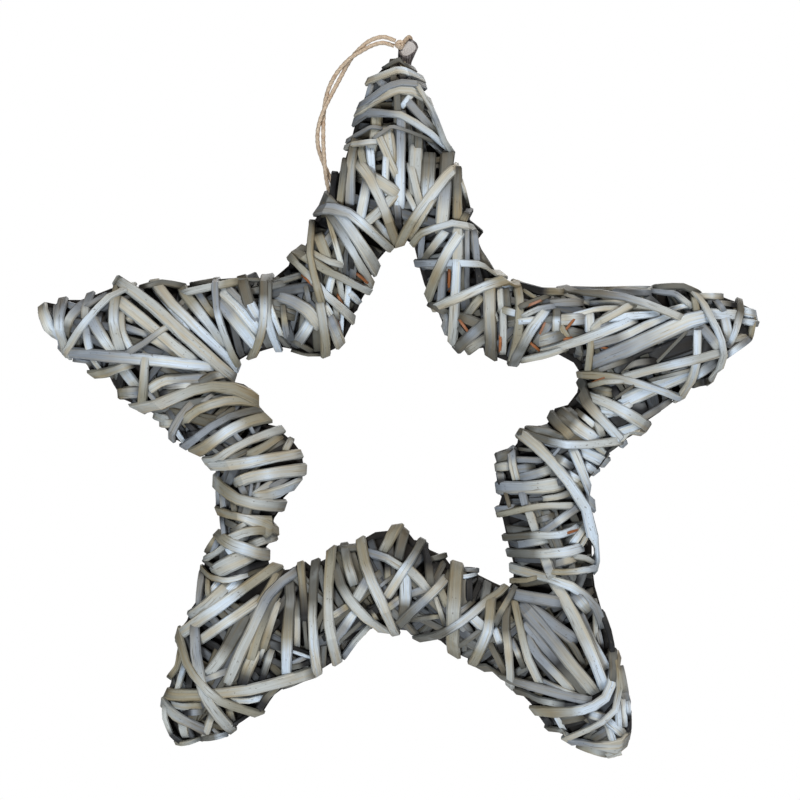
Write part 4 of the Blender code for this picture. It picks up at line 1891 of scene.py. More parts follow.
TOP_ARM = (
    slat(5, DIM, (-10.5, 11), (-9.5, 26.5)),
    slat(5, TAN, (-3.5, 11), (-3.5, 26.5), to=DARK),
    slat(5, GREY, (-25, 27.5), (-28, 38)),
    slat(5, GREY, (-21, 24.5), (-15, 30)),
    slat(6, DIM, (-7.5, 27.5), (-7, 56)),
    slat(6.5, DIM, (8.5, 33.5), (7.5, 59.5), (7, 78)),
    slat(7.5, TAN, (-21.5, 44.5), (-21.5, 58), (-27.5, 85.5), to=PALE),
    slat(5.5, TAN, (-33, 70), (-30, 87)),
    slat(7, DIM, (-36.5, 67), (-39.5, 85), (-40, 111), by=PALE, to=GREY),
    slat(5, DIM, (-43, 80), (-47, 112), to=TAN),
    slat(5, DARK, (-50.5, 88.5), (-52.5, 112)),
    slat(9.5, PALE, (5.5, 73), (4.5, 107)),
    slat(9, DIM, (14.5, 80), (13, 112), by=PALE, to=WHITE),
    slat(6, GREY, (-8, 107), (-6, 129), to=DARK),
    slat(5, PALE, (0, 105), (8.5, 122), to=WHITE),
    slat(8, PALE, (-23, 123), (-11, 136), by=WHITE, to=PALE),
    slat(10, DIM, (27.5, 73.5), (23, 127), by=GREY, to=PALE),
    slat(7.5, GREY, (-4.5, 50), (-5.2, 80), (-6, 112), to=WHITE),
    slat(8.5, PALE, (-14, 60), (-11, 84), by=WHITE, to=TAN),
    slat(5.5, PALE, (-20, 64.5), (-8.5, 91)),
    slat(5.5, WHITE, (-15, 80), (-16, 108)),
    slat(6, WHITE, (-26, 73.5), (-24, 97.5)),
    slat(5.5, PALE, (2, 87), (11, 123), by=PALE, to=DIM),
    slat(7, DIM, (34, 85.5), (34, 122), to=TAN),
    slat(3, PALE, (36.5, 94), (42, 113.5), to=DIM),
    slat(7.5, PALE, (-8.5, 104.5), (-19.5, 116.5), (-30, 125)),
    slat(8.5, PALE, (-23, 94), (-8, 104)),
    slat(7, GREY, (-27.5, 93), (-33, 122), by=WHITE, to=WHITE),
    hoop(3, GREY, (-39.5, 65.5), (-25.5, 58), (-16.5, 59.5)),
    slat(3, GREY, (-21.5, 65), (-11, 58), (2, 62), (17, 68), to=DIM),
    hoop(4, PALE, (-43, 71), (-29.5, 69), (-19.5, 68.5), by=GREY, to=WHITE),
    slat(5, WHITE, (-3, 43), (2, 36.5)),
    slat(6, GREY, (0, 41), (22.5, 66.5), by=GREY, to=DIM),
    slat(3.5, PALE, (14.5, 45.5), (20.5, 59)),
    hoop(3.5, DIM, (-16.5, 16), (-6, 10.5), (5, 17.5)),
    hoop(5, GREY, (-38, 54), (-28.5, 47.5), (-5, 50), (13, 60), (30, 73), by=PALE, to=WHITE),
    hoop(5.5, PALE, (-33, 46), (-22, 39.5), (-7, 32.5), (4, 33.5), (11, 38)),
    hoop(5, GREY, (-31.5, 41.5), (-20.5, 34), (-7, 27.5), (11, 29)),
    slat(4, PALE, (7, 30.5), (16.5, 46.5), (25.5, 68.5), (30.5, 74.5), by=GREY, to=PALE),
    hoop(5, PALE, (-28.5, 25.5), (-6, 18), (11.5, 24.5), by=PALE, to=WHITE),
    hoop(7.5, PALE, (-35, 82), (-27.5, 91), (-18, 110), (-8.5, 135.5), by=WHITE, to=TAN),
    hoop(7.5, PALE, (36, 83), (27, 91), (11, 112), (-4, 134), by=WHITE, to=TAN),
    slat(4, PALE, (17, 110), (2, 133.5), to=TAN),
)
UPPER_LEFT_BAND = (
    slat(4, TAN, (-56.5, 110.5), (-52, 130), (-46, 152), by=TAN, to=WHITE),
    slat(8, TAN, (-60.5, 135.5), (-55, 150.5)),
    hoop(5, TAN, (-71, 142), (-55, 150.5), (-43, 153.5), to=PALE),
    hoop(6.5, DIM, (-59, 110), (-50.5, 123), (-38.5, 142.5), (-25.5, 166.5), by=WHITE, to=PALE),
    hoop(8.5, DIM, (-57, 106), (-43.5, 123), (-33, 138), (-21.5, 156), by=WHITE, to=PALE),
    hoop(7, GREY, (-62, 115), (-52.5, 114), (-40, 117.5), (-13, 140), by=WHITE, to=PALE),
    slat(5, WHITE, (-41, 166), (-42.5, 181)),
    slat(4, WHITE, (-45.5, 183), (-46.5, 198)),
    slat(4, PALE, (-47.5, 163), (-45.5, 174)),
    slat(6, WHITE, (-52, 161), (-55, 172)),
    slat(5, WHITE, (-57, 181), (-54, 186)),
    slat(4, PALE, (-50.5, 181), (-48.5, 190), to=DIM),
    slat(4, DIM, (-70, 168), (-68.5, 176), to=GREY),
    slat(5, WHITE, (-39, 173), (-34, 178)),
    slat(2, RUST, (-71, 161.5), (-66.5, 166)),
    slat(2, RUST, (-33, 160.5), (-28, 165)),
    slat(2, RUST, (-47.5, 175), (-46, 178.5)),
    slat(2, RUST, (-49.5, 191), (-48, 194)),
    slat(4, DIM, (-77, 206), (-66, 212)),
    slat(2.5, DIM, (-80, 211.5), (-70, 214.5), (-59, 214.5)),
    slat(8, WHITE, (-67, 191.5), (-71, 199), (-77, 207), by=WHITE, to=GREY),
    hoop(8.5, GREY, (-91, 174), (-80, 177.5), (-69, 184), (-60, 196), to=PALE),
    hoop(8.5, GREY, (-55, 186), (-51, 196), (-46.5, 208), to=PALE),
    hoop(6, TAN, (-75, 145), (-54, 158), (-27, 170.5), by=TAN, to=PALE),
    hoop(6, TAN, (-79, 149), (-67.5, 161), (-55, 175), (-47, 181.5), (-38, 190), by=WHITE, to=PALE),
    slat(5.5, TAN, (-66, 122), (-67.5, 146), (-64, 163), (-59.5, 178)),
    hoop(6.5, PALE, (-61, 177), (-58.5, 192), (-57, 204), (-57, 215), to=TAN),
)
UPPER_RIGHT_BAND = (
    slat(6, DARK, (42.5, 113.5), (37.5, 123), to=TAN),
    slat(4, GREY, (40.5, 130), (40.5, 168.5), by=GREY, to=DARK),
    slat(5.5, GREY, (45, 130), (47.5, 150.5)),
    slat(6.5, WHITE, (25, 131), (12.5, 146.5), by=PALE, to=DIM),
    slat(5, GREY, (9.5, 132), (9, 148)),
    slat(6, GREY, (10.5, 151.5), (29, 154.5)),
    slat(6, GREY, (24, 157.5), (23, 177)),
    slat(2.2, RUST, (28.5, 156), (28.5, 166.5)),
    slat(2.2, RUST, (60.5, 158), (63, 161.5)),
    slat(7.5, PALE, (34, 128), (34, 152)),
    slat(6, DARK, (76, 166.5), (92, 171.5), (108, 171.5), by=DARK, to=TAN),
    hoop(5.5, TAN, (6.5, 133.8), (8.6, 131), (29.9, 124.2), (46.9, 128.4), by=WHITE, to=PALE),
    hoop(5.5, GREY, (7.5, 151), (37, 152), (51, 152.5), (64, 159), by=WHITE, to=PALE),
    hoop(7.5, WHITE, (37, 129.5), (27.5, 143.5), (19.5, 159.5), (14, 174.5), to=TAN),
    slat(5.5, DIM, (15, 179), (25.5, 184.5)),
    hoop(5.5, GREY, (24, 184), (25, 199)),
    hoop(6.8, WHITE, (33.5, 147.5), (33, 165), (30.5, 211), to=PALE),
    slat(6, TAN, (50.5, 174.5), (38, 190.5), to=DIM),
    slat(7, DIM, (38, 189), (50, 194)),
    slat(4.5, DIM, (36, 196.5), (43.5, 205)),
    slat(8, DIM, (55, 191), (44, 201), (33.5, 210.5), by=GREY, to=DIM),
    slat(7, DIM, (55, 202), (41, 211.5), to=TAN),
    slat(2.2, RUST, (37, 192.5), (39.5, 196)),
    slat(6.5, PALE, (54.5, 170), (55, 180), (59.5, 190.5)),
    slat(5.5, PALE, (65.5, 181.5), (65.5, 209.5)),
    slat(2.2, RUST, (63.5, 203.5), (63.5, 208)),
    slat(5, WHITE, (63.5, 169), (71, 169)),
    slat(5, DIM, (67.5, 171.5), (68.5, 181.5)),
    slat(5, PALE, (63, 170), (64, 182)),
    slat(5, TAN, (66, 184), (73, 186), to=WHITE),
    hoop(9, TAN, (56, 163), (56, 188.5), (57.5, 216), by=PALE, to=DIM),
    hoop(7, TAN, (75.5, 167), (77, 180), (76, 201), (72.5, 219)),
    hoop(6.5, PALE, (23, 180), (37, 174.5), (52, 168), (67, 163), (77, 165.5), by=WHITE, to=TAN),
    slat(4.5, GREY, (99.5, 181.5), (89.5, 183), (79.5, 188), to=PALE),
    slat(5, WHITE, (76.5, 192), (86.5, 190.5)),
    slat(7, GREY, (96.5, 194), (87, 209), by=GREY, to=DIM),
    slat(9, PALE, (93, 204.5), (105, 201), by=GREY, to=DIM),
    slat(2.2, RUST, (85.5, 207), (89, 210)),
    slat(2.2, RUST, (93, 194.5), (91.5, 198)),
    slat(5.5, DIM, (102, 185), (101.5, 197.5), by=WHITE, to=PALE),
    slat(3, TAN, (79.5, 170), (89, 177)),
    slat(4, DIM, (97, 174), (84, 179), (77, 182)),
    slat(2, RUST, (90, 178), (84, 180.5)),
    hoop(7.5, WHITE, (96, 182.5), (84, 198), (73, 220.5), by=PALE, to=DIM),
    slat(4.5, PALE, (79, 218), (94.5, 215), (106, 211)),
)
RIGHT_ARM = (
    slat(3.5, GREY, (109, 168.5), (132.5, 169), (167, 168.5), by=DIM, to=WHITE),
    slat(5, PALE, (107, 172), (118.5, 177), (125.5, 179.5)),
    slat(5, GREY, (121, 175.5), (136, 172)),
    slat(5.5, GREY, (98, 179), (117.5, 179)),
    slat(5, GREY, (127, 179), (147.5, 179), by=PALE, to=PALE),
    slat(5.5, PALE, (149.5, 183), (170.5, 183)),
    slat(4, WHITE, (112, 188), (131, 183), (147.5, 182.5), to=PALE),
    slat(8, PALE, (104, 191), (122, 190), by=WHITE, to=GREY),
    slat(8, DIM, (110, 199), (124, 202), to=DARK),
    slat(7, WHITE, (124.5, 188), (125, 200)),
    slat(6.5, PALE, (126, 198), (134, 191), (142, 186)),
    slat(7, GREY, (133, 197), (145, 190)),
    slat(5, TAN, (105, 195), (110, 204)),
    slat(2, RUST, (109, 196.5), (113, 191.5)),
    slat(2, RUST, (104, 204.5), (111, 203)),
    slat(2, RUST, (131, 209), (137, 210.5)),
    slat(6, WHITE, (138, 189.5), (170.5, 186.5)),
    slat(5.5, PALE, (132.5, 191.5), (145, 185), (156, 179)),
    slat(4, PALE, (161, 173.5), (170.5, 168)),
    slat(5, WHITE, (182, 183.5), (194, 180)),
    slat(4.5, GREY, (167, 170.5), (184, 172.5), (194.5, 181), by=GREY, to=PALE),
    slat(5, TAN, (196.5, 172), (198.5, 185)),
    slat(4.5, DIM, (170.5, 168), (189, 167), (201.5, 172.5)),
    slat(5, GREY, (140, 171), (165, 172)),
    slat(10, DARK, (226, 198), (237, 196)),
    slat(5, WHITE, (212, 178.5), (228, 181), by=PALE, to=DARK),
    slat(11, DARK, (166, 216), (195, 206)),
    slat(2.5, DIM, (170.5, 220), (182, 208), (190.5, 199.5)),
    slat(5, DIM, (146, 224), (157, 220), (169, 219), by=GREY, to=DARK),
    slat(6, DARK, (144, 225), (152, 217), (159, 212.5), (168, 210)),
    slat(7, PALE, (92, 213), (118.5, 205), (132.5, 200), (153, 191.5), by=PALE, to=WHITE),
    slat(6, GREY, (127, 208), (146, 203), (163.5, 194.5), (179.5, 188), by=WHITE, to=WHITE),
    slat(4, GREY, (133, 224.5), (154.5, 217), by=DIM, to=DARK),
    slat(10.5, GREY, (127.5, 219.5), (146, 212.5), (170.5, 201.5), (194.5, 190.5), (206.5, 188), to=WHITE),
    slat(5, TAN, (125.5, 206), (124, 227)),
    slat(9, WHITE, (205, 187), (226, 187.5)),
    slat(7, WHITE, (218, 191), (219.5, 201.5), by=WHITE, to=PALE),
    slat(12, DARK, (202, 209), (214, 211)),
    slat(7, GREY, (203, 197.5), (213, 210), by=GREY, to=PALE),
    slat(5, PALE, (202, 174.5), (217, 174.5), by=WHITE, to=PALE),
    slat(5, GREY, (212, 177), (216, 183)),
    hoop(8, WHITE, (229, 184.5), (240, 187)),
    slat(5, TAN, (238, 193), (236.5, 203)),
    hoop(5, WHITE, (229, 191.5), (239, 192.5), by=WHITE, to=PALE),
    slat(5, PALE, (225, 203.5), (234, 202)),
    slat(8, WHITE, (199, 228.5), (209, 221), by=GREY, to=DARK),
    slat(6, DIM, (197.5, 234.5), (209, 232), by=DARK, to=DIM),
    slat(11, WHITE, (136, 254), (150, 246), (166.8, 238.4), (180, 232), (193.5, 227)),
    slat(3, DIM, (167, 232), (194.5, 225), by=PALE, to=PALE),
    hoop(6.5, WHITE, (198.5, 195.5), (198, 221.5), (195.5, 232), (188, 245), by=WHITE, to=PALE),
    slat(6.5, PALE, (147.5, 230.5), (167, 225), (201.5, 217), (214, 213.5), by=WHITE, to=PALE),
    hoop(6, DIM, (110, 169.5), (132, 172.5), (151, 175.5), (168, 181), (190, 190.5), by=GREY, to=PALE),
    hoop(5.5, DIM, (229.5, 177), (229.5, 184), (226.5, 193.5), (221, 208), by=WHITE, to=WHITE),
    slat(5, GREY, (236, 203), (225.5, 210.5), (218, 216), by=WHITE, to=WHITE),
    hoop(5.5, PALE, (196, 169.5), (203, 179), (209, 191), (214, 203), (217.5, 212.5), (215, 223),
         (208.5, 235.5), by=WHITE, to=PALE),
    hoop(5.5, TAN, (117, 228), (139.5, 229.5), (160, 235), (189.5, 244.5), to=WHITE),
)
RIGHT_BAND = (
    slat(6, DARK, (142, 239), (144, 244)),
    slat(10, DARK, (139, 262), (160, 252)),
    slat(7, DIM, (132, 239), (138, 240.5), to=TAN),
    slat(2.5, DIM, (143, 244), (154, 236)),
    slat(2.2, RUST, (129, 233), (134, 231)),
    slat(4, TAN, (128, 235), (135, 233), (148, 233), to=PALE),
    slat(6.5, WHITE, (133, 256.5), (146, 252), (152, 249)),
    slat(5, PALE, (130, 278), (137, 284)),
    slat(6, WHITE, (133, 252), (142, 254)),
    slat(6.5, WHITE, (142, 269), (161, 262)),
    slat(4.5, GREY, (160, 259), (172, 252), (181, 246), by=DARK, to=GREY),
    hoop(4.5, PALE, (142, 275.5), (163, 268.5)),
    slat(5, DIM, (119, 256), (127, 263), by=WHITE, to=WHITE),
    slat(9.5, DIM, (105, 254), (114, 263), (129, 273), by=PALE, to=WHITE),
    slat(5, PALE, (130, 262), (133, 269)),
    hoop(7, DIM, (98, 255), (104, 264), (114, 273), to=TAN),
    slat(7, DIM, (82, 267), (94, 268), (105, 272.5)),
    slat(5, GREY, (88, 273), (100, 276), (112, 277)),
    slat(2.5, GREY, (100.5, 283), (104, 278.5)),
    slat(2.5, DARK, (138, 281), (145, 276), to=DIM),
    slat(7, DIM, (103, 285.5), (110, 290), by=WHITE, to=GREY),
    slat(7, WHITE, (112, 297.5), (118, 301), to=PALE),
    slat(6, TAN, (117, 304), (121, 309)),
    hoop(7.5, WHITE, (120, 289), (132, 297)),
    hoop(8.5, WHITE, (116, 279), (139, 290)),
    hoop(8.5, PALE, (124, 243), (135, 247), (150, 255), (166, 264.5), by=WHITE, to=PALE),
    hoop(7, DIM, (117.5, 229), (119, 240), (124, 249), (131, 257), (139, 265.5), (149.5, 276.5), by=PALE,
         to=WHITE),
    hoop(6, DIM, (78, 268), (92, 272.5), (107, 276.5), (126, 276.5), (147, 273.5), by=WHITE, to=PALE),
    slat(3, DIM, (77, 279.5), (85, 280)),
    slat(5, GREY, (76, 287), (91, 287)),
    slat(6, GREY, (76, 293.5), (84, 292), by=GREY, to=DIM),
    slat(8, DIM, (62, 286), (72, 283), by=DIM, to=DARK),
    slat(6.5, PALE, (61.5, 292.5), (69, 291.5), by=PALE, to=GREY),
    slat(6, GREY, (64, 296), (65, 302), by=DARK, to=DARK),
    slat(7, GREY, (79, 299), (90, 296.5), (97, 293.5), by=GREY, to=PALE),
    hoop(6, GREY, (71.5, 280.5), (72, 290), (76, 304), by=PALE, to=PALE),
    hoop(10, GREY, (61, 306.5), (80, 306.5), (97, 305), (106, 303), to=PALE),
    slat(5, PALE, (95, 313.5), (105, 312), (112, 309), by=PALE, to=DIM),
    hoop(4.5, GREY, (62, 321.5), (75, 319)),
    slat(6, GREY, (79, 311), (81, 319)),
    slat(3, DIM, (68, 312), (70, 319)),
    slat(6, PALE, (82.5, 320), (88, 336)),
    slat(5, DIM, (91, 328), (97, 326), by=GREY, to=DIM),
    slat(6.5, GREY, (93, 336), (106, 327), (116, 320), by=WHITE, to=GREY),
    slat(6, GREY, (78, 345), (94, 342), to=PALE),
    slat(6.5, WHITE, (113, 345), (119, 337), (123, 331.5), to=PALE),
    slat(4, PALE, (120, 345), (124, 338)),
    slat(7, PALE, (94.5, 355), (98.5, 366), by=GREY, to=PALE),
    slat(6, GREY, (103, 357.5), (114, 355), by=PALE, to=PALE),
    slat(4, PALE, (115, 353.5), (122, 354.5), (128.5, 358.5)),
    hoop(5, TAN, (63, 325), (75, 322), (92, 318.5), (115, 318.5), to=PALE),
    hoop(5.5, DIM, (67, 341), (85, 338.5), (103, 338.5), (113, 336), (118, 332.5), by=PALE, to=WHITE),
    slat(2.2, RUST, (110, 337), (114, 336)),
    hoop(7, DIM, (70, 351.5), (85, 351.5), (108, 350.5), (120, 347.5), by=PALE, to=WHITE),
    hoop(4, TAN, (72, 371), (82, 370), (92, 367)),
    slat(8, GREY, (74, 380), (88, 382), (103, 384.5)),
    hoop(5, TAN, (96, 363.5), (110, 364), (129.5, 362), by=PALE, to=WHITE),
    slat(8, GREY, (116, 381), (122, 388), by=WHITE, to=PALE),
    hoop(7, WHITE, (113, 279), (119, 293), (125, 308), (127.5, 318)),
    hoop(8, PALE, (77, 268.5), (84, 273.5), (91, 280), (100, 289), (108, 299), (116, 309), (125, 325),
         (128, 345), (129, 360), by=WHITE, to=WHITE),
)
LOWER_RIGHT_ARM = (
    slat(3, DARK, (133, 396), (136.5, 414)),
    slat(4, PALE, (129.5, 388), (129, 411)),
    slat(4, GREY, (131.5, 407), (133, 415), by=GREY, to=DARK),
    slat(5, DIM, (108, 408), (114, 416), (120, 427)),
    slat(6.5, GREY, (80, 399), (97, 420), (121, 448), by=DARK, to=DIM),
    slat(6.5, GREY, (81, 408), (90, 422), (100, 432), (112, 445), by=GREY, to=PALE),
    slat(9.5, GREY, (82, 388), (95, 397), (113, 410)),
    slat(3.5, GREY, (90, 437), (100, 442), (117, 449), to=PALE),
    slat(9.5, GREY, (77, 385), (98, 409), (110, 425), (127, 445.5), by=GREY, to=PALE),
    slat(6.5, GREY, (118, 392), (126, 411), (136.5, 430), by=PALE, to=WHITE),
    slat(8.5, PALE, (101, 371), (108, 383), (116, 398), (123, 413), (129, 427), (134.5, 442), by=PALE,
         to=WHITE),
    slat(6, TAN, (73, 382), (76, 398), (79, 411), (83, 426), (91, 441), to=PALE),
    slat(4.5, GREY, (72, 412), (78, 426), by=PALE, to=DIM),
    hoop(5, DIM, (75, 447), (90, 452.5), (108, 455.5), (120, 456), by=PALE, to=DARK),
    hoop(6.5, DIM, (52, 431), (66, 437.5), (85, 442.5), (105, 447.5), (125, 452.5), by=GREY, to=GREY),
    hoop(6, DIM, (69, 385), (66.5, 400), (68.5, 414), (71, 448), by=PALE, to=PALE),
    hoop(7, PALE, (72, 362), (86, 365.5), (100, 369), (111, 373), (120, 378.5), (128, 386), (133, 396),
         (135, 404), by=WHITE, to=GREY),
    slat(4.5, DARK, (134, 393), (138.5, 405), (141, 417), (141.5, 430)),
    slat(5, WHITE, (101.5, 462), (108, 474)),
    slat(6, DARK, (93, 463), (99, 471)),
    slat(7, DIM, (108, 466), (119, 463)),
    hoop(4, DIM, (97, 473), (112, 478.5), to=PALE),
    slat(6, DIM, (129, 479), (137, 474), to=GREY),
    slat(7, DARK, (122.5, 460.5), (133, 464), by=WHITE, to=GREY),
    slat(5.5, WHITE, (138, 471), (141.5, 481)),
    slat(7, WHITE, (138.7, 468), (150, 477.6), by=WHITE, to=PALE),
    slat(4, DARK, (153, 462), (152.5, 476)),
    slat(6, GREY, (149, 447), (151.5, 456)),
    slat(4.5, PALE, (147.5, 431), (151, 450)),
    slat(4.5, WHITE, (148.5, 454), (149.5, 471)),
    slat(3.5, WHITE, (152, 454), (152.5, 466), by=WHITE, to=DARK),
    slat(5, TAN, (118, 485), (137, 491), to=PALE),
    hoop(6, PALE, (136, 492), (148, 488), (152, 482)),
    hoop(6, GREY, (113, 482), (130, 484.5), (146.5, 485), (154, 477), by=PALE, to=PALE),
    hoop(7.5, WHITE, (141, 431), (140.5, 440), (137, 449.5), (131, 454.5), (124, 457.5), (115, 459.5),
         (104, 460.5), (86, 461), by=WHITE, to=TAN),
    slat(6, DIM, (141, 418), (141.4, 430), (140.8, 438)),
    slat(5, WHITE, (144.5, 457), (145.5, 470)),
    hoop(5, TAN, (145.5, 422), (145.7, 434), (145.4, 446), (143, 458), (139, 464), (127, 471),
         (110, 480), by=WHITE, to=PALE),
)
BOTTOM_BAND = (
    slat(5, DIM, (-48, 349), (-36, 348)),
    slat(5, DARK, (-14, 360), (-14, 369), to=TAN),
    slat(3, GREY, (-19.5, 374), (-11, 367.5), to=DIM),
    slat(5.5, TAN, (-13, 388), (-6, 383), by=GREY, to=PALE),
    slat(6, GREY, (3, 378.5), (11, 376)),
    slat(5, TAN, (23, 378), (26, 386)),
    slat(4, DIM, (16, 356), (26, 353.5)),
    slat(5, DARK, (42, 369), (42, 385)),
    slat(4, GREY, (38, 363.5), (48, 364)),
    slat(3, WHITE, (38, 368), (47, 366.5)),
    slat(4, GREY, (36, 391), (42, 386.5), to=DIM),
    slat(7.5, GREY, (-28.5, 370.5), (-36, 383), by=PALE, to=PALE),
    slat(5, PALE, (-51, 394), (-42, 387.5), by=GREY, to=TAN),
    slat(7, WHITE, (-37, 392), (-43, 401), (-49, 411), by=GREY, to=GREY),
    slat(3, DIM, (-33, 399), (-46, 411)),
    slat(4.5, PALE, (-27, 401.5), (-36, 411), (-45, 424), by=PALE, to=GREY),
    slat(3, DARK, (-25, 391), (-21, 397), by=TAN, to=DARK),
    slat(3.5, DIM, (5, 396.5), (21, 394), by=DIM, to=TAN),
    slat(3.5, PALE, (19.5, 383), (24.5, 398), by=PALE, to=DIM),
    slat(7, WHITE, (44, 395), (51, 401.5)),
    slat(4, DIM, (36, 414), (49, 405)),
    slat(5, DIM, (57, 414), (65, 430)),
    slat(8, WHITE, (-2, 366), (-1.5, 380), (-3, 393), by=WHITE, to=DIM),
    slat(7, PALE, (1, 363), (8, 369), (12.5, 375)),
    slat(6, GREY, (-26, 351.5), (-15, 354.5), (-5, 361), to=PALE),
    hoop(8, DIM, (-2, 333), (-4, 343), (-7, 356)),
    hoop(7.5, TAN, (-6, 331), (-11, 339), (-17.5, 351)),
    hoop(6.5, DIM, (-44, 346), (-42, 358), (-37, 373), by=TAN, to=PALE),
    hoop(5.5, DARK, (11.5, 343), (14, 357), (15.5, 375), by=DARK, to=DIM),
    hoop(7.5, PALE, (26, 369), (15, 380), (2, 391.5), (-7, 401), by=GREY, to=DIM),
    hoop(6.5, DIM, (10, 343), (3, 355), (-3, 363), (-10, 374), (-16, 383), by=WHITE, to=PALE),
    hoop(7.5, DIM, (-51, 358), (-46, 374), (-38, 386), (-28, 396.5), (-17, 405), by=PALE, to=PALE),
    hoop(7.5, TAN, (-33, 341), (-31, 355), (-25.5, 370), (-19, 383), (-8.5, 408), by=WHITE, to=PALE),
    hoop(7.5, TAN, (-53, 349), (-55, 375), (-55, 396), (-52.5, 408), (-49, 427), by=PALE, to=PALE),
    hoop(9.5, TAN, (34, 360), (32, 378), (31, 392), (30.5, 410), (32, 423), by=PALE, to=TAN),
    hoop(6, DIM, (7, 411), (20, 407.5), (30, 402.5), (40, 395.5), (50, 388), (59, 380.5), (68, 375),
         by=WHITE, to=TAN),
    slat(5.5, WHITE, (60, 404), (64, 415), by=WHITE, to=DARK),
    hoop(5, DIM, (74, 375), (68.5, 384), (63, 393), (59, 402), by=TAN, to=DIM),
    hoop(8, TAN, (57, 381), (56.5, 392), (55.5, 403), (51, 414), (45.5, 427), by=WHITE, to=TAN),
)
LEFT_BAND = (
    slat(3.5, GREY, (-131.5, 296), (-131.5, 318)),
    slat(5, GREY, (-128, 312), (-127, 320)),
    slat(5, DIM, (-120, 316), (-119, 321)),
    slat(5, DIM, (-115, 305), (-112, 310), by=GREY, to=DIM),
    slat(2.5, GREY, (-107.5, 303), (-108.5, 312)),
    slat(3, GREY, (-103, 303), (-105, 311)),
    slat(4.5, PALE, (-93, 302), (-105, 310)),
    slat(4, GREY, (-84, 300), (-95, 306)),
    slat(5, DIM, (-126, 329), (-117, 333)),
    slat(4, GREY, (-128.5, 326), (-126, 340)),
    slat(4, PALE, (-112, 330.5), (-118, 334), to=DIM),
    slat(4, DIM, (-120, 342), (-114, 341)),
    slat(7, PALE, (-92, 340), (-101, 342.5), (-110, 346), by=PALE, to=DIM),
    slat(5, WHITE, (-124, 347), (-121, 351)),
    slat(5, TAN, (-132, 341), (-139, 351), to=DIM),
    slat(5, GREY, (-130, 341), (-134, 350)),
    slat(3.5, DIM, (-141, 357), (-133, 361)),
    slat(5, DARK, (-98, 358), (-112, 362), (-122, 367)),
    slat(5, GREY, (-142.5, 365), (-144, 383)),
    slat(4, TAN, (-138, 371), (-137.5, 378)),
    hoop(8.5, WHITE, (-74, 303), (-86, 308), (-97, 311.5), (-108, 312), to=PALE),
    hoop(8.5, PALE, (-72.5, 294), (-84, 295), (-96, 297), (-108, 298.5), (-119, 303), by=WHITE, to=PALE),
    hoop(9, TAN, (-132.5, 303), (-125, 309), (-117, 314.5), (-105, 317), (-86.5, 319), by=PALE, to=PALE),
    hoop(6, TAN, (-129, 323), (-116, 326), (-104, 329), (-95, 333.5), (-90.5, 337), by=WHITE, to=TAN),
    slat(7, PALE, (-122, 341), (-113, 336.5), (-104, 335), (-96, 336), by=PALE, to=TAN),
    slat(11, PALE, (-131, 363), (-122, 358), (-111, 353)),
    hoop(8.5, TAN, (-129.5, 340), (-122, 344.5), (-112, 348), (-99, 352.5), by=WHITE, to=PALE),
    hoop(4.5, PALE, (-142.5, 357.5), (-133, 351.5), (-125, 345.5)),
    hoop(4, TAN, (-142.5, 362), (-136, 368.5), (-125, 370), (-110, 366), to=WHITE),
)
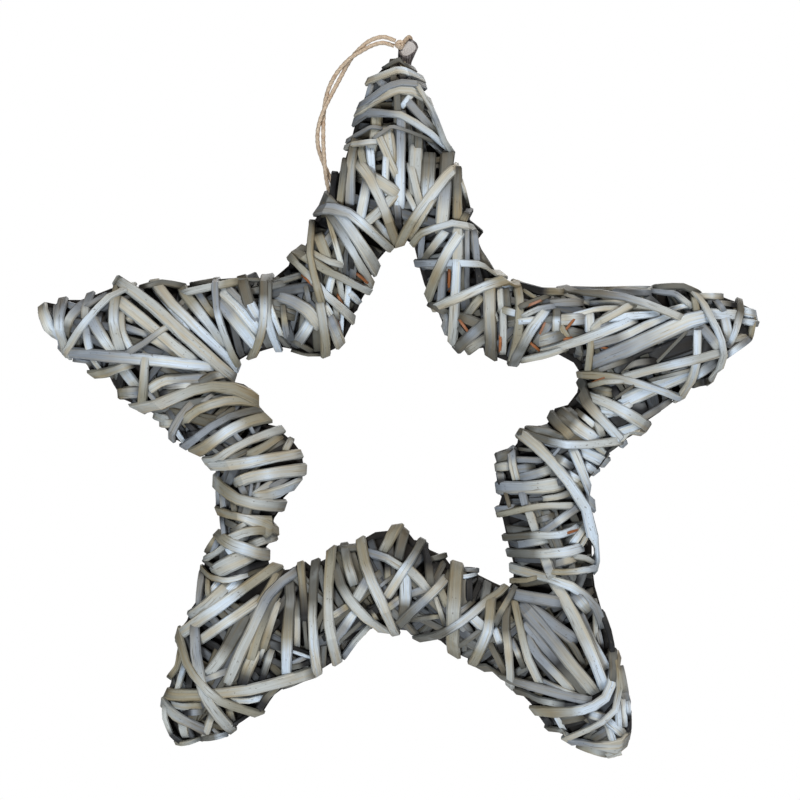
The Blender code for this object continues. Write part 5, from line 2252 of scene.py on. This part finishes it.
LOWER_LEFT_ARM = (
    slat(7, WHITE, (-131, 373), (-140, 386), to=DARK),
    slat(7, WHITE, (-118, 372), (-127, 381)),
    slat(5, TAN, (-90, 364), (-97, 378), (-104, 388)),
    slat(9, PALE, (-126, 375), (-138, 387), (-150, 396)),
    slat(5.5, DIM, (-76, 385), (-76, 399), (-76.5, 412), by=PALE, to=PALE),
    slat(3, DIM, (-73, 385), (-69.5, 415)),
    slat(2.5, WHITE, (-79, 419), (-68, 423)),
    slat(4, GREY, (-80, 427), (-73, 424)),
    slat(4, DIM, (-80, 430), (-72, 428), by=DIM, to=DARK),
    slat(3, PALE, (-99.5, 417), (-102, 424), to=DARK),
    slat(8, PALE, (-105, 419), (-110, 430), (-114, 441), by=TAN, to=DARK),
    slat(7, DIM, (-89, 375), (-97, 392), (-104, 410), (-108, 424), to=TAN),
    slat(5, PALE, (-90, 387), (-94.5, 400), (-99, 415), to=TAN),
    slat(5, DARK, (-101, 440), (-95, 421), by=DIM, to=PALE),
    slat(9, DIM, (-112, 394), (-121, 411), (-129, 424), (-137, 434), by=DIM, to=PALE),
    slat(7.5, DIM, (-82, 369), (-81, 385), (-83, 405), (-84, 438), by=TAN, to=WHITE),
    slat(5, GREY, (-140, 438), (-125, 432), by=PALE, to=GREY),
    slat(7, PALE, (-105, 385), (-118, 394), (-130, 402), (-144, 412), by=WHITE, to=PALE),
    hoop(7.5, GREY, (-77, 364.5), (-87, 371), (-97, 381), (-103.5, 395), (-110, 409), (-117.5, 425),
         (-125, 442), by=PALE, to=PALE),
    slat(4.5, TAN, (-157, 417), (-159, 430), (-165, 438)),
    slat(4.5, WHITE, (-155, 431), (-158.5, 444), to=PALE),
    slat(5, DARK, (-150, 436), (-151, 445)),
    hoop(6, TAN, (-74.5, 357), (-72, 380), (-70.5, 401), by=DIM, to=DARK),
    hoop(7, DIM, (-64, 359), (-65.5, 380), (-66, 400), (-62.5, 437.5), by=PALE, to=WHITE),
    hoop(8, TAN, (-93, 362), (-103, 368.5), (-116, 377.5), (-130, 388), (-146, 398.5), (-160.5, 410),
         by=WHITE, to=PALE),
    slat(6, DIM, (-124, 459), (-122, 468), by=TAN, to=DIM),
    slat(3, DARK, (-121.5, 470.5), (-109.5, 463)),
    slat(3, GREY, (-133, 474), (-129, 478)),
    slat(2.5, DIM, (-86, 445), (-72, 439.5)),
    slat(6, PALE, (-136, 465), (-141, 480)),
    slat(5, PALE, (-124, 452), (-110, 453), (-97, 450), to=WHITE),
    slat(5, TAN, (-90, 443), (-98, 451), (-104, 460.5), to=DARK),
    slat(6.5, PALE, (-155, 470), (-154, 478)),
    slat(5.5, PALE, (-164, 456), (-153, 457), (-143, 456), to=TAN),
    slat(5, DARK, (-151, 460.5), (-143, 460), by=GREY, to=DIM),
    slat(5, DIM, (-143, 480), (-126, 477), by=DIM, to=WHITE),
    hoop(4, TAN, (-162, 483), (-153, 483), (-144, 480), to=PALE),
    hoop(8.5, TAN, (-169, 449), (-150, 449), (-130, 447.5), (-112, 446), (-96, 442.5), (-80, 438),
         (-66, 434), by=PALE, to=PALE),
    hoop(7.5, PALE, (-169, 456), (-160, 464), (-150, 468), (-139, 474), to=GREY),
    slat(4.5, PALE, (-168, 456), (-168, 466), (-163.5, 477), (-156, 483), by=PALE, to=DARK),
    slat(8, GREY, (-147, 404), (-146, 421), (-143.5, 434), (-140.5, 447), (-133, 460), (-121.5, 475),
         by=PALE, to=PALE),
    hoop(6.5, TAN, (-157.5, 411), (-153, 426), (-146.5, 436), (-138.5, 445), (-129, 453), (-114.5, 459),
         (-100.5, 464.5), by=PALE, to=TAN),
)
LEFT_ARM = (
    slat(3, DIM, (-142, 164.5), (-116, 163), (-98, 163.5)),
    slat(5, TAN, (-130, 167), (-118, 165), to=DIM),
    slat(5, GREY, (-193, 196), (-176, 202), by=PALE, to=GREY),
    slat(6, PALE, (-177, 203), (-166, 209), (-157, 215.5), by=GREY, to=DIM),
    slat(4, GREY, (-149, 210), (-141, 216), to=WHITE),
    slat(5, DIM, (-194, 188), (-187, 192), by=PALE, to=DARK),
    slat(8.2, PALE, (-197, 179), (-193, 182.2), (-175.2, 196.4), (-159.7, 209.1), (-148, 218.5)),
    slat(6, GREY, (-145, 172), (-134, 187), to=TAN),
    slat(5.5, WHITE, (-131, 172), (-118, 187), to=GREY),
    slat(3.5, WHITE, (-174, 171.5), (-166.5, 180), (-157.5, 190.5), (-151, 198)),
    slat(9, GREY, (-129, 178), (-118, 191), (-106, 207), by=PALE, to=WHITE),
    slat(9, PALE, (-129, 170), (-118, 180.5), (-104, 196), to=WHITE),
    slat(5, GREY, (-123, 169.5), (-110, 182), (-104, 191)),
    slat(7, WHITE, (-109, 178), (-103.5, 188)),
    slat(8, DIM, (-114.5, 161), (-112, 170), (-109, 180)),
    slat(4.5, WHITE, (-95, 181), (-88, 199)),
    slat(5, DIM, (-86, 181), (-84, 199), by=TAN, to=GREY),
    slat(7.5, TAN, (-157, 167.5), (-152, 175), (-142, 187), (-134, 197.5), (-126, 208.5), by=WHITE,
         to=PALE),
    slat(4.5, DIM, (-185, 168), (-170, 164.5), (-155, 167)),
    slat(4, DIM, (-150, 166), (-132, 163)),
    slat(5.5, PALE, (-152, 171.5), (-138, 168.5), (-120, 165), by=PALE, to=TAN),
    hoop(7.5, PALE, (-174, 165.5), (-165, 177.5), (-153.5, 188), (-143, 198.5), (-131, 210),
         (-123.5, 218), by=WHITE, to=WHITE),
    hoop(5.5, GREY, (-132.5, 162.5), (-132.5, 178), (-129, 193), (-124, 208), (-119, 220.5), by=WHITE,
         to=TAN),
    slat(3, GREY, (-141, 247), (-136, 243)),
    slat(4, DARK, (-145, 268), (-152, 262)),
    slat(4, DARK, (-149, 269), (-143, 268)),
    slat(4, DIM, (-131, 259), (-121, 252)),
    slat(3.5, GREY, (-120, 268), (-115, 274)),
    slat(2.5, GREY, (-109, 264), (-106.5, 269)),
    slat(5, DIM, (-123, 286), (-111, 281)),
    slat(5, PALE, (-81, 273), (-85, 281), to=TAN),
    slat(4, GREY, (-190, 247), (-184, 250)),
    slat(4, GREY, (-178, 241), (-174, 246)),
    slat(5, DARK, (-168, 241), (-158, 239), to=TAN),
    slat(8, PALE, (-195, 226), (-188, 235), by=WHITE, to=PALE),
    slat(9, TAN, (-200, 241), (-186, 240), to=GREY),
    slat(4, DIM, (-142, 227), (-137, 229.5)),
    slat(8, PALE, (-177, 238), (-168, 232), (-155, 231.5), (-140, 231), to=GREY),
    slat(4, GREY, (-163, 236.5), (-150, 235.5), to=WHITE),
    slat(4, PALE, (-216, 219), (-212, 225)),
    slat(3, GREY, (-231, 218), (-223, 219)),
    hoop(6, TAN, (-220, 228), (-208, 227), (-198, 223.5), (-190, 221), by=DIM, to=PALE),
    slat(3, GREY, (-244, 181), (-243, 190)),
    slat(5, GREY, (-235, 180), (-229, 182)),
    slat(7, GREY, (-226, 182), (-233, 190), (-235, 200), by=PALE, to=DIM),
    slat(5, DARK, (-212, 187), (-213, 195), to=GREY),
    slat(5.5, GREY, (-221, 195), (-220, 204), (-218.5, 213), to=WHITE),
    slat(8.5, GREY, (-217, 190), (-211, 201), (-202, 213), by=WHITE, to=PALE),
    slat(5.5, PALE, (-197, 188), (-195.5, 200), (-189, 213), to=WHITE),
    hoop(6, GREY, (-220, 173), (-222, 182), (-222, 191), to=PALE),
    hoop(8, TAN, (-200, 167), (-202, 178), (-202.5, 190), (-200, 202), (-196, 214), by=WHITE, to=PALE),
    hoop(8, PALE, (-254, 179), (-250, 190), (-244, 202), (-238, 213.5), by=WHITE, to=GREY),
    hoop(7, GREY, (-239, 175.5), (-240, 188), (-239.5, 198), (-236.5, 212), by=WHITE, to=PALE),
    hoop(8, GREY, (-232, 213), (-218, 214.5), (-200, 216.5), (-184, 217.5), (-165, 219.5), (-148, 221.5),
         (-131, 223.5), to=WHITE),
    slat(7, DIM, (-143, 234), (-133, 228.5), (-124, 228), by=DIM, to=PALE),
    slat(4, GREY, (-220, 181), (-209, 173)),
    slat(5, GREY, (-191, 213), (-180, 206.5), (-172, 200), (-164, 195), by=GREY, to=PALE),
    hoop(8.6, PALE, (-202, 163), (-189.5, 170.5), (-175, 181.6), (-156.2, 198.9), (-137.8, 215.3),
         (-121, 230.5)),
    hoop(5.5, PALE, (-194, 168), (-207, 175.5), (-217, 187), (-227, 200), (-236.5, 213), by=WHITE, to=PALE),
    hoop(7, PALE, (-179.5, 213), (-181, 228), (-182, 240), (-184, 252), to=TAN),
    slat(6, PALE, (-175, 256.5), (-166, 259)),
    slat(6, PALE, (-170, 262), (-162, 262), to=TAN),
    slat(4.5, WHITE, (-160, 266), (-155, 274)),
    slat(7, TAN, (-109, 283.5), (-99, 278.5), (-88, 270.5)),
    hoop(5.5, GREY, (-147, 246), (-156, 256.5), (-161.5, 266), (-163.5, 273.5)),
    hoop(7, TAN, (-155, 262), (-148, 254.5), (-138, 249.5), (-125, 246), (-114, 245.5), (-107.5, 248),
         by=PALE, to=TAN),
    hoop(8.5, PALE, (-187, 251.5), (-175, 250.5), (-162, 245), (-150, 239.5), (-138, 236.5), (-126, 236),
         (-115, 239), (-108, 244), to=TAN),
    hoop(6, GREY, (-154.5, 277.5), (-145, 271.5), (-135, 264), (-124, 257.5), (-112, 254), (-103, 253),
         by=GREY, to=DIM),
    hoop(8.5, TAN, (-148.5, 282.5), (-139, 278), (-128, 270), (-117, 263.5), (-106, 259.5), (-98, 258),
         by=WHITE, to=TAN),
    hoop(6.5, PALE, (-140, 288), (-132, 287), (-122, 280.5), (-110, 274), (-99, 270), (-87, 266)),
    hoop(7.5, PALE, (-136, 291), (-124, 290.5), (-110, 289), (-97, 286.5), (-85, 284), (-72.5, 283),
         by=WHITE, to=PALE),
    hoop(6, DIM, (-96, 166), (-97, 185), (-95, 197), (-90, 210), by=PALE, to=WHITE),
    hoop(6, DIM, (-99, 163), (-99, 178), (-99.5, 195), (-102, 204), (-107, 213.5), by=WHITE, to=TAN),
)


def main() -> None:
    """Builds the star, piece by piece."""
    logging.basicConfig(level=logging.INFO, format="%(message)s")
    studio = Studio()
    studio.camera()
    JuteCord().build()
    Peg().build()
    star = StarWinding()
    star.core()
    star.edge_rods()
    star.inner_winding()
    arms = (TOP_ARM, RIGHT_ARM, LOWER_RIGHT_ARM, LOWER_LEFT_ARM, LEFT_ARM)
    for arm, table in zip(ARM_NAMES, arms):
        nodes = [n for n in frame["nodes"] if n.startswith((f"{arm}_tip_", f"{arm}_arm_crossing_"))]
        star.strips(f"{arm}_arm_strips", table, nodes)
    bands = (UPPER_RIGHT_BAND, RIGHT_BAND, BOTTOM_BAND, LEFT_BAND, UPPER_LEFT_BAND)
    for valley, table in zip(VALLEY_NAMES, bands):
        beside, across = f"_by_{valley}_valley", f"{valley}_valley_turn"
        nodes = [n for n in frame["nodes"] if n.endswith(beside) or n == across]
        star.strips(f"{valley}_band_strips", table, nodes)
    studio.build()


if __name__ == "__main__":
    main()
